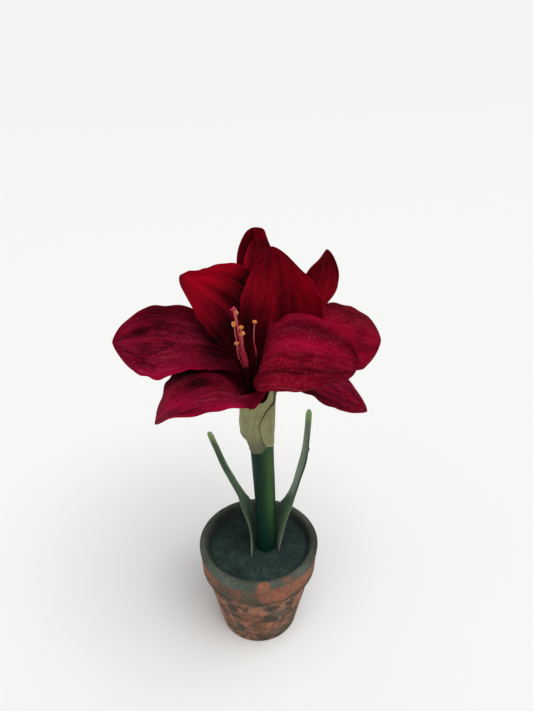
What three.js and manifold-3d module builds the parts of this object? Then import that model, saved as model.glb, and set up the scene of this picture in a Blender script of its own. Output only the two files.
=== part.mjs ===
// An amaryllis in a terracotta pot, with two open blooms on one scape and two young leaves.
// Millimetres, +Z up, the origin in the middle of the pot's flat underside, the plant's front towards -Y.

import * as THREE from 'three';
import { mergeVertices } from 'three/addons/utils/BufferGeometryUtils.js';
import Module from 'manifold-3d';

const wasm = await Module();
wasm.setup();

// Driving dimensions

const gap = 0.3; // clearance between pieces that touch

const pot = {
  height: 96,
  rimRadius: 55,
  bandHeight: 27.7, // the deep band round the mouth
  bandFootRadius: 53.2,
  shoulderRadius: 50.2, // the body just under the band
  footRadius: 36.8,
  mouthRadius: 47.5, // inside the rim
  floorRadius: 32.5, // inside, at the floor
  floorThickness: 8,
  lip: 2.6, // rounding of the rim
  sides: 40,
};

const soil = { level: 86.5, relief: 1, rings: 5, slotDepth: 40 };

const bulb = { radius: 28, neckRadius: 20, bottom: 16, top: 72, sides: 24 };

const scape = {
  foot: [6.8, -3.1], // where it leaves the soil
  head: [3.5, -5], // under the bract
  top: 203.5,
  footRadius: 8.4,
  headRadius: 10,
  sides: 24,
};

const leafThickness = 1.6;
const leafRows = 18;
// Each leaf's two margins, from the bulb to the tip: the near one, and the far one that goes behind the scape.
const leaves = {
  leaf_left: {
    near: [
      [-5.7, -9, 72.4], [-5.7, -9, 88], [-6.4, -9, 103], [-8.9, -9, 122], [-14.5, -9, 140],
      [-19.6, -8, 153], [-26, -8, 170], [-31.3, -8, 187], [-36.8, -8, 204], [-41.7, -8, 219.5],
    ],
    far: [
      [-2, 4, 72.4], [-1.6, 4, 88], [-2.6, 6, 103], [-4.6, 6, 122], [-7.6, 3, 140],
      [-12, -3, 153], [-19, -6, 170], [-26.2, -7, 187], [-31.8, -8, 204], [-37, -8, 219.5],
    ],
    channel: 1.5, // how far its middle stands out from the line between its margins
    slot: { x: -4.6, y: -2.4, radiusX: 3.2, radiusY: 9, turn: -16 }, // its hole in the soil
  },
  leaf_right: {
    near: [
      [18.5, -9, 72.4], [18.8, -9, 88], [21.4, -9, 105], [25.6, -9, 128], [29.6, -8, 144],
      [32, -8, 155], [35.8, -8, 170], [39.1, -8, 187], [41, -8, 204], [41.8, -8, 241],
    ],
    far: [
      [13, 5, 72.4], [12.5, 6, 88], [13, 8, 105], [16.5, 6, 128], [22.8, 1, 144],
      [26, -4, 155], [29.2, -6, 170], [32.4, -7, 187], [35.4, -8, 204], [38, -8, 241],
    ],
    channel: -1.5,
    slot: { x: 16.3, y: -1.4, radiusX: 3.4, radiusY: 10.2, turn: 21 },
  },
};

const bractThickness = 0.9;
const bract = {
  bottom: scape.top + 0.5,
  peak: 4, // how far the middle of a valve stands above its margins
  // height above the bottom, centre and half widths of the pair of valves, from the side
  sections: [
    { height: 0, x: 3.3, y: -5, halfX: 9.9, halfY: 9.6 },
    { height: 7, x: 2, y: -5, halfX: 11.2, halfY: 10.8 },
    { height: 14.5, x: -0.6, y: -4.6, halfX: 13.8, halfY: 12.2 },
    { height: 24, x: -0.8, y: -4.2, halfX: 14.1, halfY: 12.8 },
    { height: 36, x: -0.4, y: -4, halfX: 13.8, halfY: 12.8 },
    { height: 52, x: 0.4, y: -3.6, halfX: 13.4, halfY: 12.6 },
  ],
};

const tepalThickness = 1;
const tepalRows = 14; // along a tepal
const tepalColumns = 6; // across it
const tepalFoot = 4; // how far a tepal starts from the bloom's axis
const tube = { radius: 4.6, mouthRadius: 7.6, solid: 7, height: 17, wall: 1 };

// Each bloom opens along its axis from its base. A tepal's midrib leaves the tube, passes by its belly and
// ends at its tip. rise is how far it first follows the axis and flare how far outwards it leans there, cup
// its half angle across at the base, middle and tip, widest how far along it is widest, blunt the fullness
// of its ends, claw and neck the width and length of its narrow foot; roll, twist and swing turn it.
// Angles are in degrees.
const blooms = {
  front: {
    base: [-1, -10, 246],
    axis: [-0.22, -0.4, 0.88],
    tepals: [
      {
        tip: [-113, 8, 293], belly: [11, 24, 299], width: 72, rise: 25, cup: [70, 12, 13],
        widest: 0.69, blunt: 0.87, claw: 0.3, roll: 9, twist: -23, swing: -20, skew: -0.08,
        wave: [2.5, 2, 0.3],
      },
      {
        tip: [-62, 44, 336], belly: [29, 19.5, 284], width: 66, rise: 29, cup: [70, 41, 27],
        widest: 0.64, blunt: 0.92, claw: 0.3, roll: -13, twist: 23, swing: 5, skew: 0.18, wave: [2, 2, 2],
      },
      {
        tip: [11.5, 26, 364], belly: [17, 15, 291], width: 65, rise: 33, cup: [70, 26, 30],
        widest: 0.65, blunt: 0.63, claw: 0.3, roll: 18, twist: -39, swing: -8, skew: 0.3, wave: [1.5, 2, 0],
      },
      {
        tip: [69.5, -42, 294.5], belly: [-16, -59, 328], width: 59, rise: 31.5, cup: [60, 10, 3],
        widest: 0.51, blunt: 0.47, claw: 0.08, neck: 0.45, roll: -5, twist: 64, swing: -18, skew: -0.2,
        wave: [1, 2, 0],
      },
      {
        tip: [-71, -55, 260], belly: [-31, -45, 298], width: 70, rise: 25.5, cup: [70, 2, 6],
        widest: 0.62, blunt: 0.45, claw: 0.3, roll: 11, twist: 20, swing: 1, skew: 0.17, wave: [2, 2.2, 1],
      },
      {
        tip: [84, -24, 250], belly: [10, -8, 303.5], width: 48, rise: 25, cup: [70, 15, 3],
        widest: 0.52, blunt: 0.7, claw: 0.16, roll: -22, twist: 7, swing: -20, skew: 0, wave: [1, 2, 0],
      },
    ],
    stigma: [-15.3, -26, 334],
    stylePath: [[-5, -16, 262], [-7.8, -20, 286.5], [-11.4, -22, 307], [-13.8, -24.5, 325]],
    anthers: [
      { at: [-14.1, -20, 328.8], path: [[-7, -17, 290], [-12.5, -19, 312]] },
      { at: [-15.7, -24, 322], path: [[-8, -21.5, 286], [-13.5, -23.5, 307]] },
      { at: [-10.3, -30, 322], path: [[-6, -23, 284], [-10, -27, 305]] },
      { at: [-9.9, -25, 315], path: [[-5, -20, 282], [-9, -23, 300]] },
      { at: [-14, -24, 307], path: [[-9, -20, 284], [-13, -22.5, 296]] },
      { at: [-1.1, -20, 322], path: [[0, -18, 290], [-1.8, -19.5, 308]] },
    ],
  },
  back: {
    base: [13, 13, 248],
    axis: [0.45, 0.22, 0.86],
    tepals: [
      {
        tip: [102.5, 34, 282], belly: [40, 33.5, 309], width: 67, rise: 32.5, flare: 6, cup: [70, -5, -25],
        widest: 0.77, blunt: 0.62, claw: 0.16, roll: 36, twist: 6, swing: -15.5, skew: 0, wave: [2, 2, 0],
      },
      {
        tip: [-2, 70, 368], belly: [-2, 64, 290], width: 37, rise: 37.5, cup: [70, 28, 36],
        widest: 0.68, blunt: 0.37, claw: 0.16, roll: -64, twist: -29, swing: 1, skew: 0, wave: [1, 2, 0],
      },
      {
        tip: [57.5, 76, 347.5], belly: [51.5, 69, 292.5], width: 34, rise: 35, flare: 6, cup: [70, 31, 19.5],
        widest: 0.8, blunt: 0.64, claw: 0.16, roll: -39.5, twist: -11, swing: -3, skew: 0.02, wave: [1, 2, 0],
      },
      {
        tip: [-40, 74, 286], belly: [-18, 62, 300], width: 52, rise: 34, cup: [70, 20, 5],
        widest: 0.64, blunt: 0.7, claw: 0.16, roll: 8, twist: 0, swing: 16, skew: 0, wave: [2, 2, 1],
      },
      {
        tip: [42, 42, 330], belly: [28, 36, 300], width: 46, rise: 30, cup: [60, 25, 10],
        widest: 0.64, blunt: 0.7, claw: 0.16, roll: 0, twist: 0, swing: 0, skew: 0, wave: [1, 2, 1],
      },
      {
        tip: [84, 70, 272], belly: [56, 60, 300], width: 54, rise: 32, cup: [70, 14, 5],
        widest: 0.64, blunt: 0.7, claw: 0.16, roll: 0, twist: 0, swing: 0, skew: 0, wave: [2, 2, 1],
      },
    ],
    stigma: [34, 27, 311],
    stylePath: [[19.5, 15.5, 262], [23, 18, 276], [28, 22.5, 293]],
    anthers: [
      { at: [32, 23, 303], path: [[24, 18, 278], [28.5, 20.5, 291]] },
      { at: [26, 22, 301], path: [[22, 17.5, 278], [24, 20, 290]] },
      { at: [36, 28, 299], path: [[25, 19.5, 276], [31.5, 24, 288]] },
      { at: [29, 25, 305], path: [[22, 18, 278], [25.5, 22, 292]] },
      { at: [28, 18.5, 304], path: [[21.5, 15.5, 278], [25, 17, 292]] },
      { at: [37, 23.5, 305], path: [[25, 18, 276], [32, 21.5, 292]] },
    ],
  },
};

const filamentRadius = 0.9;
const styleRadius = 1.1;
const antherLength = 4.6;
const stigmaLobe = 1.3; // radius of each of the three
const stamenSeat = { radius: 2.3, height: 3 };

const pedicel = { radius: 3.2, ovaryRadius: 4.8, feet: { front: [0.4, -7.6], back: [6.2, -2] } };

// Finishes

const finish = (color, roughness) => new THREE.MeshStandardMaterial({ color, roughness, metalness: 0 });
const terracotta = finish(0x96593f, 0.9);
const moss = finish(0x26332d, 1);
const bulbSkin = finish(0x8a5c38, 0.8);
const green = finish(0x35553a, 0.5);
const leafGreen = finish(0x51694f, 0.55);
const papery = finish(0x7d7c5d, 0.8);
const crimson = finish(0x7c0a22, 0.6);
const stamenRed = finish(0xa5283c, 0.5);

// Curves and small helpers

const vec = (p) => new THREE.Vector3(...p);
const clamp01 = (x) => Math.min(1, Math.max(0, x));
const smooth = (x) => clamp01(x) ** 2 * (3 - 2 * clamp01(x));
const mix = (a, b, k) => a + (b - a) * k;
const radians = THREE.MathUtils.degToRad;

// A value that eases from the first number at 0 through the second at 1/2 to the third at 1.
function eased([first, second, third], s) {
  return s < 0.5 ? mix(first, second, smooth(2 * s)) : mix(second, third, smooth(2 * s - 1));
}

// The point and direction of a cubic curve at even steps of its length.
function steps(points, count) {
  const curve = new THREE.CubicBezierCurve3(...points.map((p) => p.clone()));
  return Array.from({ length: count + 1 }, (_, i) => ({
    s: i / count,
    point: curve.getPointAt(i / count),
    along: curve.getTangentAt(i / count),
  }));
}

// Solids

const solidOf = (geometry) => {
  const bare = geometry.clone();
  bare.deleteAttribute('normal');
  bare.deleteAttribute('uv');
  const merged = mergeVertices(bare, 1e-3);
  return new wasm.Manifold(new wasm.Mesh({
    numProp: 3,
    vertProperties: merged.attributes.position.array,
    triVerts: new Uint32Array(merged.index.array),
  }));
};

const geometryOf = (solid) => {
  const mesh = solid.getMesh();
  const geometry = new THREE.BufferGeometry();
  geometry.setAttribute('position', new THREE.BufferAttribute(mesh.vertProperties, 3));
  geometry.setIndex(new THREE.BufferAttribute(mesh.triVerts, 1));
  return geometry;
};

// Joins pieces into one body: pockets that the join seals are filled and loose scraps dropped.
function fuse(geometries) {
  const bodies = geometries.map(solidOf).reduce((all, one) => all.add(one)).decompose();
  return geometryOf(bodies.reduce((best, body) => (body.volume() > best.volume() ? body : best)));
}

function cut(geometry, cutters) {
  return geometryOf(cutters.reduce((all, one) => all.subtract(solidOf(one)), solidOf(geometry)));
}

// A closed solid from rows of points, each row a closed ring of equal count, with flat ends.
function loft(rings) {
  const sides = rings[0].length;
  const positions = rings.flat().flatMap((p) => p.toArray());
  const centre = (ring) => ring.reduce((sum, p) => sum.add(p), new THREE.Vector3()).divideScalar(sides);
  positions.push(...centre(rings[0]).toArray(), ...centre(rings.at(-1)).toArray());
  const first = rings.length * sides;
  const top = (rings.length - 1) * sides;
  const index = [];
  for (let j = 0; j < sides; j++) {
    const next = (j + 1) % sides;
    for (let i = 0; i < rings.length - 1; i++) {
      const [a, b] = [i * sides + j, i * sides + next];
      index.push(a, b, b + sides, a, b + sides, a + sides);
    }
    index.push(first, next, j, first + 1, top + j, top + next);
  }
  return indexed(positions, index);
}

function indexed(positions, index) {
  const geometry = new THREE.BufferGeometry();
  geometry.setAttribute('position', new THREE.Float32BufferAttribute(positions, 3));
  geometry.setIndex(index);
  return geometry;
}

// A thin closed blade round a grid of points, both faces split into the same triangles.
function blade(grid, thickness) {
  const rows = grid.length;
  const columns = grid[0].length;
  const at = (i, j) => grid[Math.min(rows - 1, Math.max(0, i))][Math.min(columns - 1, Math.max(0, j))];
  const faces = [[], []];
  for (let i = 0; i < rows; i++) {
    for (let j = 0; j < columns; j++) {
      const along = at(i + 1, j).clone().sub(at(i - 1, j));
      const across = at(i, j + 1).clone().sub(at(i, j - 1));
      const out = along.cross(across).normalize().multiplyScalar(thickness / 2);
      faces[0].push(grid[i][j].clone().add(out));
      faces[1].push(grid[i][j].clone().sub(out));
    }
  }
  const under = rows * columns;
  const index = [];
  for (let i = 0; i < rows - 1; i++) {
    for (let j = 0; j < columns - 1; j++) {
      const a = i * columns + j;
      const [b, c, d] = [a + 1, a + columns + 1, a + columns];
      index.push(a, d, c, a, c, b, under + a, under + c, under + d, under + a, under + b, under + c);
    }
  }
  const wall = (a, b) => index.push(a, b, under + b, a, under + b, under + a);
  for (let i = 0; i < rows - 1; i++) {
    wall((i + 1) * columns, i * columns);
    wall((i + 1) * columns - 1, (i + 2) * columns - 1);
  }
  for (let j = 0; j < columns - 1; j++) {
    wall(j, j + 1);
    wall((rows - 1) * columns + j + 1, (rows - 1) * columns + j);
  }
  return indexed(faces.flat().flatMap((p) => p.toArray()), index);
}

// A six-sided rod along a path, closed at both ends.
function rod(path, radius, segments) {
  const ring = new THREE.Shape().absarc(0, 0, radius, 0, 2 * Math.PI);
  return new THREE.ExtrudeGeometry(ring, {
    steps: segments,
    curveSegments: 3,
    extrudePath: new THREE.CatmullRomCurve3(path),
  });
}

// Pot, soil and bulb

function turned(profile, sides) {
  const points = profile.map(([r, z]) => new THREE.Vector2(r, z));
  return new THREE.LatheGeometry(points, sides).rotateX(Math.PI / 2);
}

function potGeometry() {
  const { height, rimRadius, mouthRadius, lip } = pot;
  const bandFoot = height - pot.bandHeight;
  const chamfer = 1.5;
  const rim = [0, 1, 2, 3, 4].map((k) => {
    const turn = (k / 4) * (Math.PI / 2);
    return [rimRadius - lip + lip * Math.cos(turn), height - lip + lip * Math.sin(turn)];
  });
  const profile = [
    [0, 0],
    [pot.footRadius - chamfer, 0],
    [pot.footRadius, chamfer],
    [pot.shoulderRadius, bandFoot - chamfer],
    [pot.bandFootRadius - chamfer, bandFoot],
    [pot.bandFootRadius, bandFoot + chamfer],
    ...rim,
    [mouthRadius + lip, height],
    [mouthRadius + lip * 0.3, height - lip * 0.3],
    [mouthRadius, height - lip],
    [pot.floorRadius + chamfer, pot.floorThickness + chamfer],
    [pot.floorRadius, pot.floorThickness],
    [0, pot.floorThickness],
  ];
  return turned(profile, pot.sides);
}

// Radius of the pot's inside at a height above the floor's corner.
function insideRadius(z) {
  const foot = pot.floorThickness + 1.5;
  return mix(pot.floorRadius + 1.5, pot.mouthRadius, (z - foot) / (pot.height - pot.lip - foot));
}

// Small rises and hollows of the soil's surface.
function soilHeight(x, y) {
  const swell = Math.sin(x * 0.16 + 1) * Math.cos(y * 0.19 - 0.4) + 0.5 * Math.sin(x * 0.37 - y * 0.31);
  return soil.level + soil.relief * swell * 0.6;
}

function bulbProfile(grow) {
  const { radius, neckRadius, bottom, top } = bulb;
  const tall = top - bottom;
  return [
    [0, bottom - grow],
    [radius * 0.4, bottom - grow],
    [radius * 0.8 + grow, bottom + tall * 0.12],
    [radius + grow, bottom + tall * 0.38],
    [radius * 0.97 + grow, bottom + tall * 0.58],
    [neckRadius + 3 + grow, bottom + tall * 0.85],
    [neckRadius + grow, top - 2],
    [neckRadius + grow, top + grow],
    [0, top + grow],
  ];
}

const placeOverScape = (geometry) => geometry.translate(scape.foot[0], scape.foot[1], 0);

function soilGeometry() {
  const floor = pot.floorThickness + gap;
  const wallTop = soil.level - 1;
  const edge = (z) => insideRadius(z) - gap;
  const profile = [
    [0, floor],
    [pot.floorRadius - gap, floor],
    [edge(floor + 2), floor + 2],
    [edge(wallTop), wallTop],
  ];
  for (let k = soil.rings; k >= 0; k--) {
    profile.push([(edge(soil.level) * k) / (soil.rings + 0.3), soil.level]);
  }
  const body = turned(profile, pot.sides);
  const position = body.attributes.position;
  for (let i = 0; i < position.count; i++) {
    const [x, y, z] = [position.getX(i), position.getY(i), position.getZ(i)];
    if (z > soil.level - 0.01) position.setZ(i, soilHeight(x, y));
  }
  const hole = ({ x, y, radiusX, radiusY, turn }) => new THREE.CylinderGeometry(1, 1, soil.slotDepth, 28)
    .rotateX(Math.PI / 2)
    .scale(radiusX, radiusY, 1)
    .rotateZ(radians(turn))
    .translate(x, y, bulb.top - 4 + soil.slotDepth / 2);
  const stemHole = scape.footRadius + 2 * gap;
  const [x, y] = scape.foot;
  return cut(body, [
    placeOverScape(turned(bulbProfile(1.7 * gap), bulb.sides)),
    hole({ x, y, radiusX: stemHole, radiusY: stemHole, turn: 0 }),
    ...Object.values(leaves).map(({ slot }) => hole(slot)),
  ]);
}

// Scape, leaves and bract

function scapeGeometry() {
  const levels = [bulb.top + gap, soil.level, 125, 165, scape.top];
  const ring = (z) => {
    const k = clamp01((z - soil.level) / (scape.top - soil.level));
    const radius = mix(scape.footRadius, scape.headRadius, k ** 0.8);
    const [x, y] = [0, 1].map((axis) => mix(scape.foot[axis], scape.head[axis], k));
    return Array.from({ length: scape.sides }, (_, j) => {
      const turn = (2 * Math.PI * j) / scape.sides;
      return new THREE.Vector3(x + radius * Math.cos(turn), y + radius * Math.sin(turn), z);
    });
  };
  return loft(levels.map(ring));
}

function leafGeometry({ near, far, channel }) {
  const columns = 4;
  const [nearEdge, farEdge] = [near, far].map((edge) => new THREE.CatmullRomCurve3(edge.map(vec)));
  const grid = Array.from({ length: leafRows + 1 }, (_, i) => {
    const u = i / leafRows;
    const middle = nearEdge.getPoint(u).add(farEdge.getPoint(u)).multiplyScalar(0.5);
    const across = farEdge.getPoint(u).sub(middle);
    const along = nearEdge.getTangent(u).add(farEdge.getTangent(u)).normalize();
    const out = along.clone().cross(across).normalize();
    const round = Math.sqrt(clamp01((1.01 - u) / 0.06));
    return Array.from({ length: columns + 1 }, (_, j) => {
      const t = (2 * j) / columns - 1;
      return middle.clone()
        .addScaledVector(across, t * round)
        .addScaledVector(out, channel * round * (1 - t * t));
    });
  });
  return blade(grid, leafThickness);
}

// The bract's section at a height above its bottom.
function bractSection(height) {
  const { sections } = bract;
  const above = Math.max(1, sections.findIndex((section) => section.height >= height));
  const [low, high] = [sections[above - 1], sections[above]];
  const k = smooth((height - low.height) / (high.height - low.height));
  return Object.fromEntries(Object.keys(low).map((key) => [key, mix(low[key], high[key], k)]));
}

// One valve of the bract, from angle start to end, each given at the bract's bottom, middle and top.
function valveGeometry({ start, end, height, columns }) {
  const rows = 8;
  const inset = bractThickness / 2;
  const fullHeight = bract.sections.at(-1).height;
  const grid = Array.from({ length: rows + 1 }, (_, i) => {
    return Array.from({ length: columns + 1 }, (_, j) => {
      const across = (2 * j) / columns - 1;
      const rise = (i / rows) * (height - bract.peak * across ** 2);
      const turn = radians(mix(eased(start, rise / fullHeight), eased(end, rise / fullHeight), j / columns));
      const section = bractSection(rise);
      return new THREE.Vector3(
        section.x + (section.halfX - inset) * Math.cos(turn),
        section.y + (section.halfY - inset) * Math.sin(turn),
        bract.bottom + rise,
      );
    });
  });
  return blade(grid, bractThickness);
}

// Blooms

// The grid of points of a tepal's middle surface.
function tepalGrid(tepal, bloom, rows, columns) {
  const axis = vec(bloom.axis).normalize();
  const base = vec(bloom.base);
  const tip = vec(tepal.tip);
  const outward = tip.clone().sub(base);
  outward.addScaledVector(axis, -outward.dot(axis)).normalize().applyAxisAngle(axis, radians(tepal.swing));
  const start = base.clone().addScaledVector(outward, tepalFoot);
  const leave = start.clone().addScaledVector(axis, tepal.rise).addScaledVector(outward, tepal.flare ?? 4);
  const fullness = Math.log(0.5) / Math.log(tepal.widest);
  return steps([start, leave, vec(tepal.belly), tip], rows).map(({ s, point, along }) => {
    const facing = axis.clone().lerp(outward.clone().negate(), 1 - smooth(s / 0.45)).normalize();
    const inner = facing.addScaledVector(along, -facing.dot(along)).normalize();
    const side = along.clone().cross(inner);
    const roll = radians(tepal.roll * smooth(s / 0.6) + tepal.twist * smooth((s - 0.4) / 0.6));
    inner.applyAxisAngle(along, roll);
    side.applyAxisAngle(along, roll);
    const full = Math.sin(Math.PI * Math.min(1, s) ** fullness) ** tepal.blunt || 0;
    const opening = smooth(s / (tepal.neck ?? 0.35) + 0.12);
    const halfWidth = Math.max(
      (tepal.width / 2) * (full * opening + tepal.claw * (1 - s) ** 2),
      0.02 * tepal.width * (1 - s) + 0.3,
    );
    const cup = radians(eased(tepal.cup, s)) || 1e-3;
    const [waveHeight, waves, phase] = tepal.wave;
    const waving = waveHeight * smooth((s - 0.2) / 0.25) * smooth((1.02 - s) / 0.2);
    const groove = smooth(s / 0.2) * smooth((1 - s) / 0.25);
    return Array.from({ length: columns + 1 }, (_, j) => {
      const t = (2 * j) / columns - 1;
      const across = (halfWidth / cup) * Math.sin(cup * t) * (1 + tepal.skew * Math.sign(t));
      const lift = (halfWidth / cup) * (1 - Math.cos(cup * t))
        + waving * Math.abs(t) ** 3 * Math.sin(2 * Math.PI * waves * s + phase + (t > 0 ? 1.9 : 0))
        - (j === columns / 2 ? groove : 0);
      return point.clone().addScaledVector(side, across).addScaledVector(inner, lift);
    });
  });
}

// The turn that lays +Z along a direction.
const tilt = (along) => {
  return new THREE.Quaternion().setFromUnitVectors(new THREE.Vector3(0, 0, 1), along.clone().normalize());
};

// Turns a piece made along +Z to stand on the bloom's base, along its axis.
function alongAxis(geometry, bloom) {
  return geometry.applyQuaternion(tilt(vec(bloom.axis))).translate(...bloom.base);
}

function tubeGeometry(bloom) {
  const { radius, mouthRadius, solid, height, wall } = tube;
  const profile = [
    [0, 0],
    [radius, 0],
    [radius + 0.6, height * 0.5],
    [mouthRadius, height],
    [mouthRadius - wall, height],
    [radius + 0.6 - wall, height * 0.5],
    [radius - wall, solid],
    [0, solid],
  ];
  return alongAxis(turned(profile, 20), bloom);
}

function bloomGeometry(bloom) {
  const tepals = bloom.tepals.map((tepal) => {
    return blade(tepalGrid(tepal, bloom, tepalRows, tepalColumns), tepalThickness);
  });
  return fuse([tubeGeometry(bloom), ...tepals]);
}

// A point on the bloom's axis, so far above its base.
const onAxis = (bloom, height) => vec(bloom.base).addScaledVector(vec(bloom.axis).normalize(), height);

function stamenGeometry(bloom) {
  const seatBottom = tube.solid + gap;
  const seat = alongAxis(turned([
    [0, seatBottom],
    [stamenSeat.radius, seatBottom],
    [stamenSeat.radius * 0.9, seatBottom + stamenSeat.height],
    [0, seatBottom + stamenSeat.height],
  ], 12), bloom);
  const root = onAxis(bloom, seatBottom + 1);
  const throat = onAxis(bloom, seatBottom + 6);
  const parts = [seat];
  const style = [root, throat, ...bloom.stylePath.map(vec), vec(bloom.stigma)];
  parts.push(rod(style, styleRadius, 9));
  bloom.anthers.forEach(({ at, path }, k) => {
    const turn = (2 * Math.PI * k) / bloom.anthers.length;
    const spread = new THREE.Vector3(Math.cos(turn), Math.sin(turn), 0);
    const foot = root.clone().addScaledVector(spread, 1);
    const neck = throat.clone().addScaledVector(spread, 1.6);
    parts.push(rod([foot, neck, ...path.map(vec), vec(at)], filamentRadius, 8));
    parts.push(new THREE.SphereGeometry(1, 6, 4)
      .scale(antherLength / 2, 1.3, 1.3)
      .rotateZ(turn * 1.7)
      .translate(...at));
  });
  for (let k = 0; k < 3; k++) {
    const turn = (2 * Math.PI * k) / 3;
    const lobe = new THREE.SphereGeometry(stigmaLobe, 6, 4);
    lobe.translate(stigmaLobe * Math.cos(turn), stigmaLobe * Math.sin(turn), 0.5).translate(...bloom.stigma);
    parts.push(lobe);
  }
  return fuse(parts);
}

// The short stalk of one bloom, swelling to the ovary under its tube.
function pedicelGeometry(bloom, foot) {
  const bottom = scape.top + gap;
  const head = onAxis(bloom, -gap);
  const neck = onAxis(bloom, -22);
  const rows = steps([vec([...foot, bottom]), vec([...foot, bottom + 14]), neck, head], 9);
  const rings = rows.map(({ s, point }) => {
    const turn = tilt(new THREE.Vector3(0, 0, 1).lerp(vec(bloom.axis).normalize(), smooth(s)));
    const swelling = smooth((s - 0.3) / 0.3) * smooth((1.1 - s) / 0.25);
    const radius = mix(pedicel.radius, pedicel.ovaryRadius, swelling);
    return Array.from({ length: 14 }, (_, j) => {
      const angle = (2 * Math.PI * j) / 14;
      const spoke = new THREE.Vector3(radius * Math.cos(angle), radius * Math.sin(angle), 0);
      return spoke.applyQuaternion(turn).add(point);
    });
  });
  return loft(rings);
}

// Assembly

const amaryllis = new THREE.Group();
amaryllis.name = 'amaryllis_in_pot';

function add(parent, name, geometry, material) {
  const mesh = new THREE.Mesh(geometry, material);
  mesh.name = name;
  parent.add(mesh);
}

const vessel = new THREE.Group();
const plant = new THREE.Group();
amaryllis.add(vessel, plant);

add(vessel, 'pot', potGeometry(), terracotta);
add(vessel, 'soil', soilGeometry(), moss);
add(plant, 'bulb', placeOverScape(turned(bulbProfile(0), bulb.sides)), bulbSkin);
add(plant, 'scape', scapeGeometry(), green);
for (const [name, leaf] of Object.entries(leaves)) add(plant, name, leafGeometry(leaf), leafGreen);

add(plant, 'bract_left', valveGeometry({
  start: [-95, -94, -20], end: [-235, -235, -215], height: 38, columns: 10,
}), papery);
add(plant, 'bract_right', valveGeometry({
  start: [-84, -84, -10], end: [42, 20, 14], height: 48, columns: 7,
}), papery);

for (const [side, bloom] of Object.entries(blooms)) {
  add(plant, `pedicel_${side}`, pedicelGeometry(bloom, pedicel.feet[side]), green);
  add(plant, `bloom_${side}`, bloomGeometry(bloom), crimson);
  add(plant, `stamens_${side}`, stamenGeometry(bloom), stamenRed);
}

export default amaryllis;
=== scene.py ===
# Amaryllis in a terracotta pot: its looks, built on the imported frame.
# Lengths in the settings are millimetres, as in the frame; meshes are made in metres.
import math

import bpy
import numpy as np
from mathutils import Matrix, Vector


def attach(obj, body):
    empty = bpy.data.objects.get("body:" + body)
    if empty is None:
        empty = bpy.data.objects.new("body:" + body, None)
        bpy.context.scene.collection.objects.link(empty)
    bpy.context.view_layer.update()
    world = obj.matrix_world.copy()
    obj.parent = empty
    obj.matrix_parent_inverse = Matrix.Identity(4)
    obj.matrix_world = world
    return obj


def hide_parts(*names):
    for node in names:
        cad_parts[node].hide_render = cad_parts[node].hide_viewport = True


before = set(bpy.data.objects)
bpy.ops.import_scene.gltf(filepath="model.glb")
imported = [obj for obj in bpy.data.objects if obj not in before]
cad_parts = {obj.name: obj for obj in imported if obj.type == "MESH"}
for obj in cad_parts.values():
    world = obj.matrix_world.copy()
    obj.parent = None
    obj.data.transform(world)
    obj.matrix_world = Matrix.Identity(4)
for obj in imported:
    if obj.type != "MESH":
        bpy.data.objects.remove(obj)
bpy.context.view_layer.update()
mm = 0.001


# Small helpers for shapes

def smooth(x):
    x = np.clip(x, 0, 1)
    return x * x * (3 - 2 * x)


def bell(x, width):
    return np.exp(-((x / width) ** 2))


def between(x, low, high, rise, fall=None):  # 1 from low to high and 0 outside, with smooth ends
    return smooth((x - low) / rise) * smooth((high - x) / (fall or rise))


def unit(v):
    return v / np.maximum(np.linalg.norm(v, axis=-1, keepdims=True), 1e-12)


def mix(a, b, k):
    return a + (b - a) * k


def eased(values, s):  # from the first value at 0 through the second at 1/2 to the third at 1
    first, second, third = values
    return np.where(s < 0.5, mix(first, second, smooth(2 * s)), mix(second, third, smooth(2 * s - 1)))


def turnedAbout(v, axis, angle):
    across = np.cross(axis, v)
    return v * math.cos(angle) + across * math.sin(angle) + axis * (v @ axis) * (1 - math.cos(angle))


def throughPoints(points, u):  # a smooth curve through the points, at u from 0 to 1
    points = np.asarray(points, float)
    padded = np.vstack([2 * points[0] - points[1], points, 2 * points[-1] - points[-2]])
    place = np.clip(u, 0, 1) * (len(points) - 1)
    k = np.minimum(place.astype(int), len(points) - 2)
    t = (place - k)[:, None]
    a, b, c, d = (padded[k + n] for n in range(4))
    return 0.5 * (2 * b + (c - a) * t + (2 * a - 5 * b + 4 * c - d) * t**2 + (3 * b - 3 * c + d - a) * t**3)


def arc(start, leave, belly, end, steps):  # a cubic curve at the given shares of its length
    t = np.linspace(0, 1, 400)[:, None]

    def at(t):
        return (1 - t) ** 3 * start + 3 * (1 - t) ** 2 * t * leave + 3 * (1 - t) * t**2 * belly + t**3 * end

    travelled = np.concatenate([[0], np.cumsum(np.linalg.norm(np.diff(at(t), axis=0), axis=1))])
    t = np.interp(steps * travelled[-1], travelled, t[:, 0])[:, None]
    along = (1 - t) ** 2 * (leave - start) + 2 * (1 - t) * t * (belly - leave) + t**2 * (end - belly)
    return at(t), unit(along)


def gathered(values, step):  # the running sum across a row, from its middle
    total = np.cumsum((values[:, 1:] + values[:, :-1]) / 2 * step, axis=1)
    total = np.concatenate([np.zeros((len(values), 1)), total], axis=1)
    return total - total[:, [values.shape[1] // 2]]


def ripples(rng, count, low, high):  # a sum of sines with random phases, from about -1 to 1
    waves = rng.uniform(low, high, count)
    phases = rng.uniform(0, 2 * math.pi, count)
    return lambda x: sum(np.sin(2 * math.pi * w * x + p) for w, p in zip(waves, phases)) / math.sqrt(count)


def uneven(rng, count, low, high, s, t):  # ripples of their own on each half of a blade
    return np.where(t < 0, ripples(rng, count, low, high)(s), ripples(rng, count, low, high)(s))


# Small helpers for meshes

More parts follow.
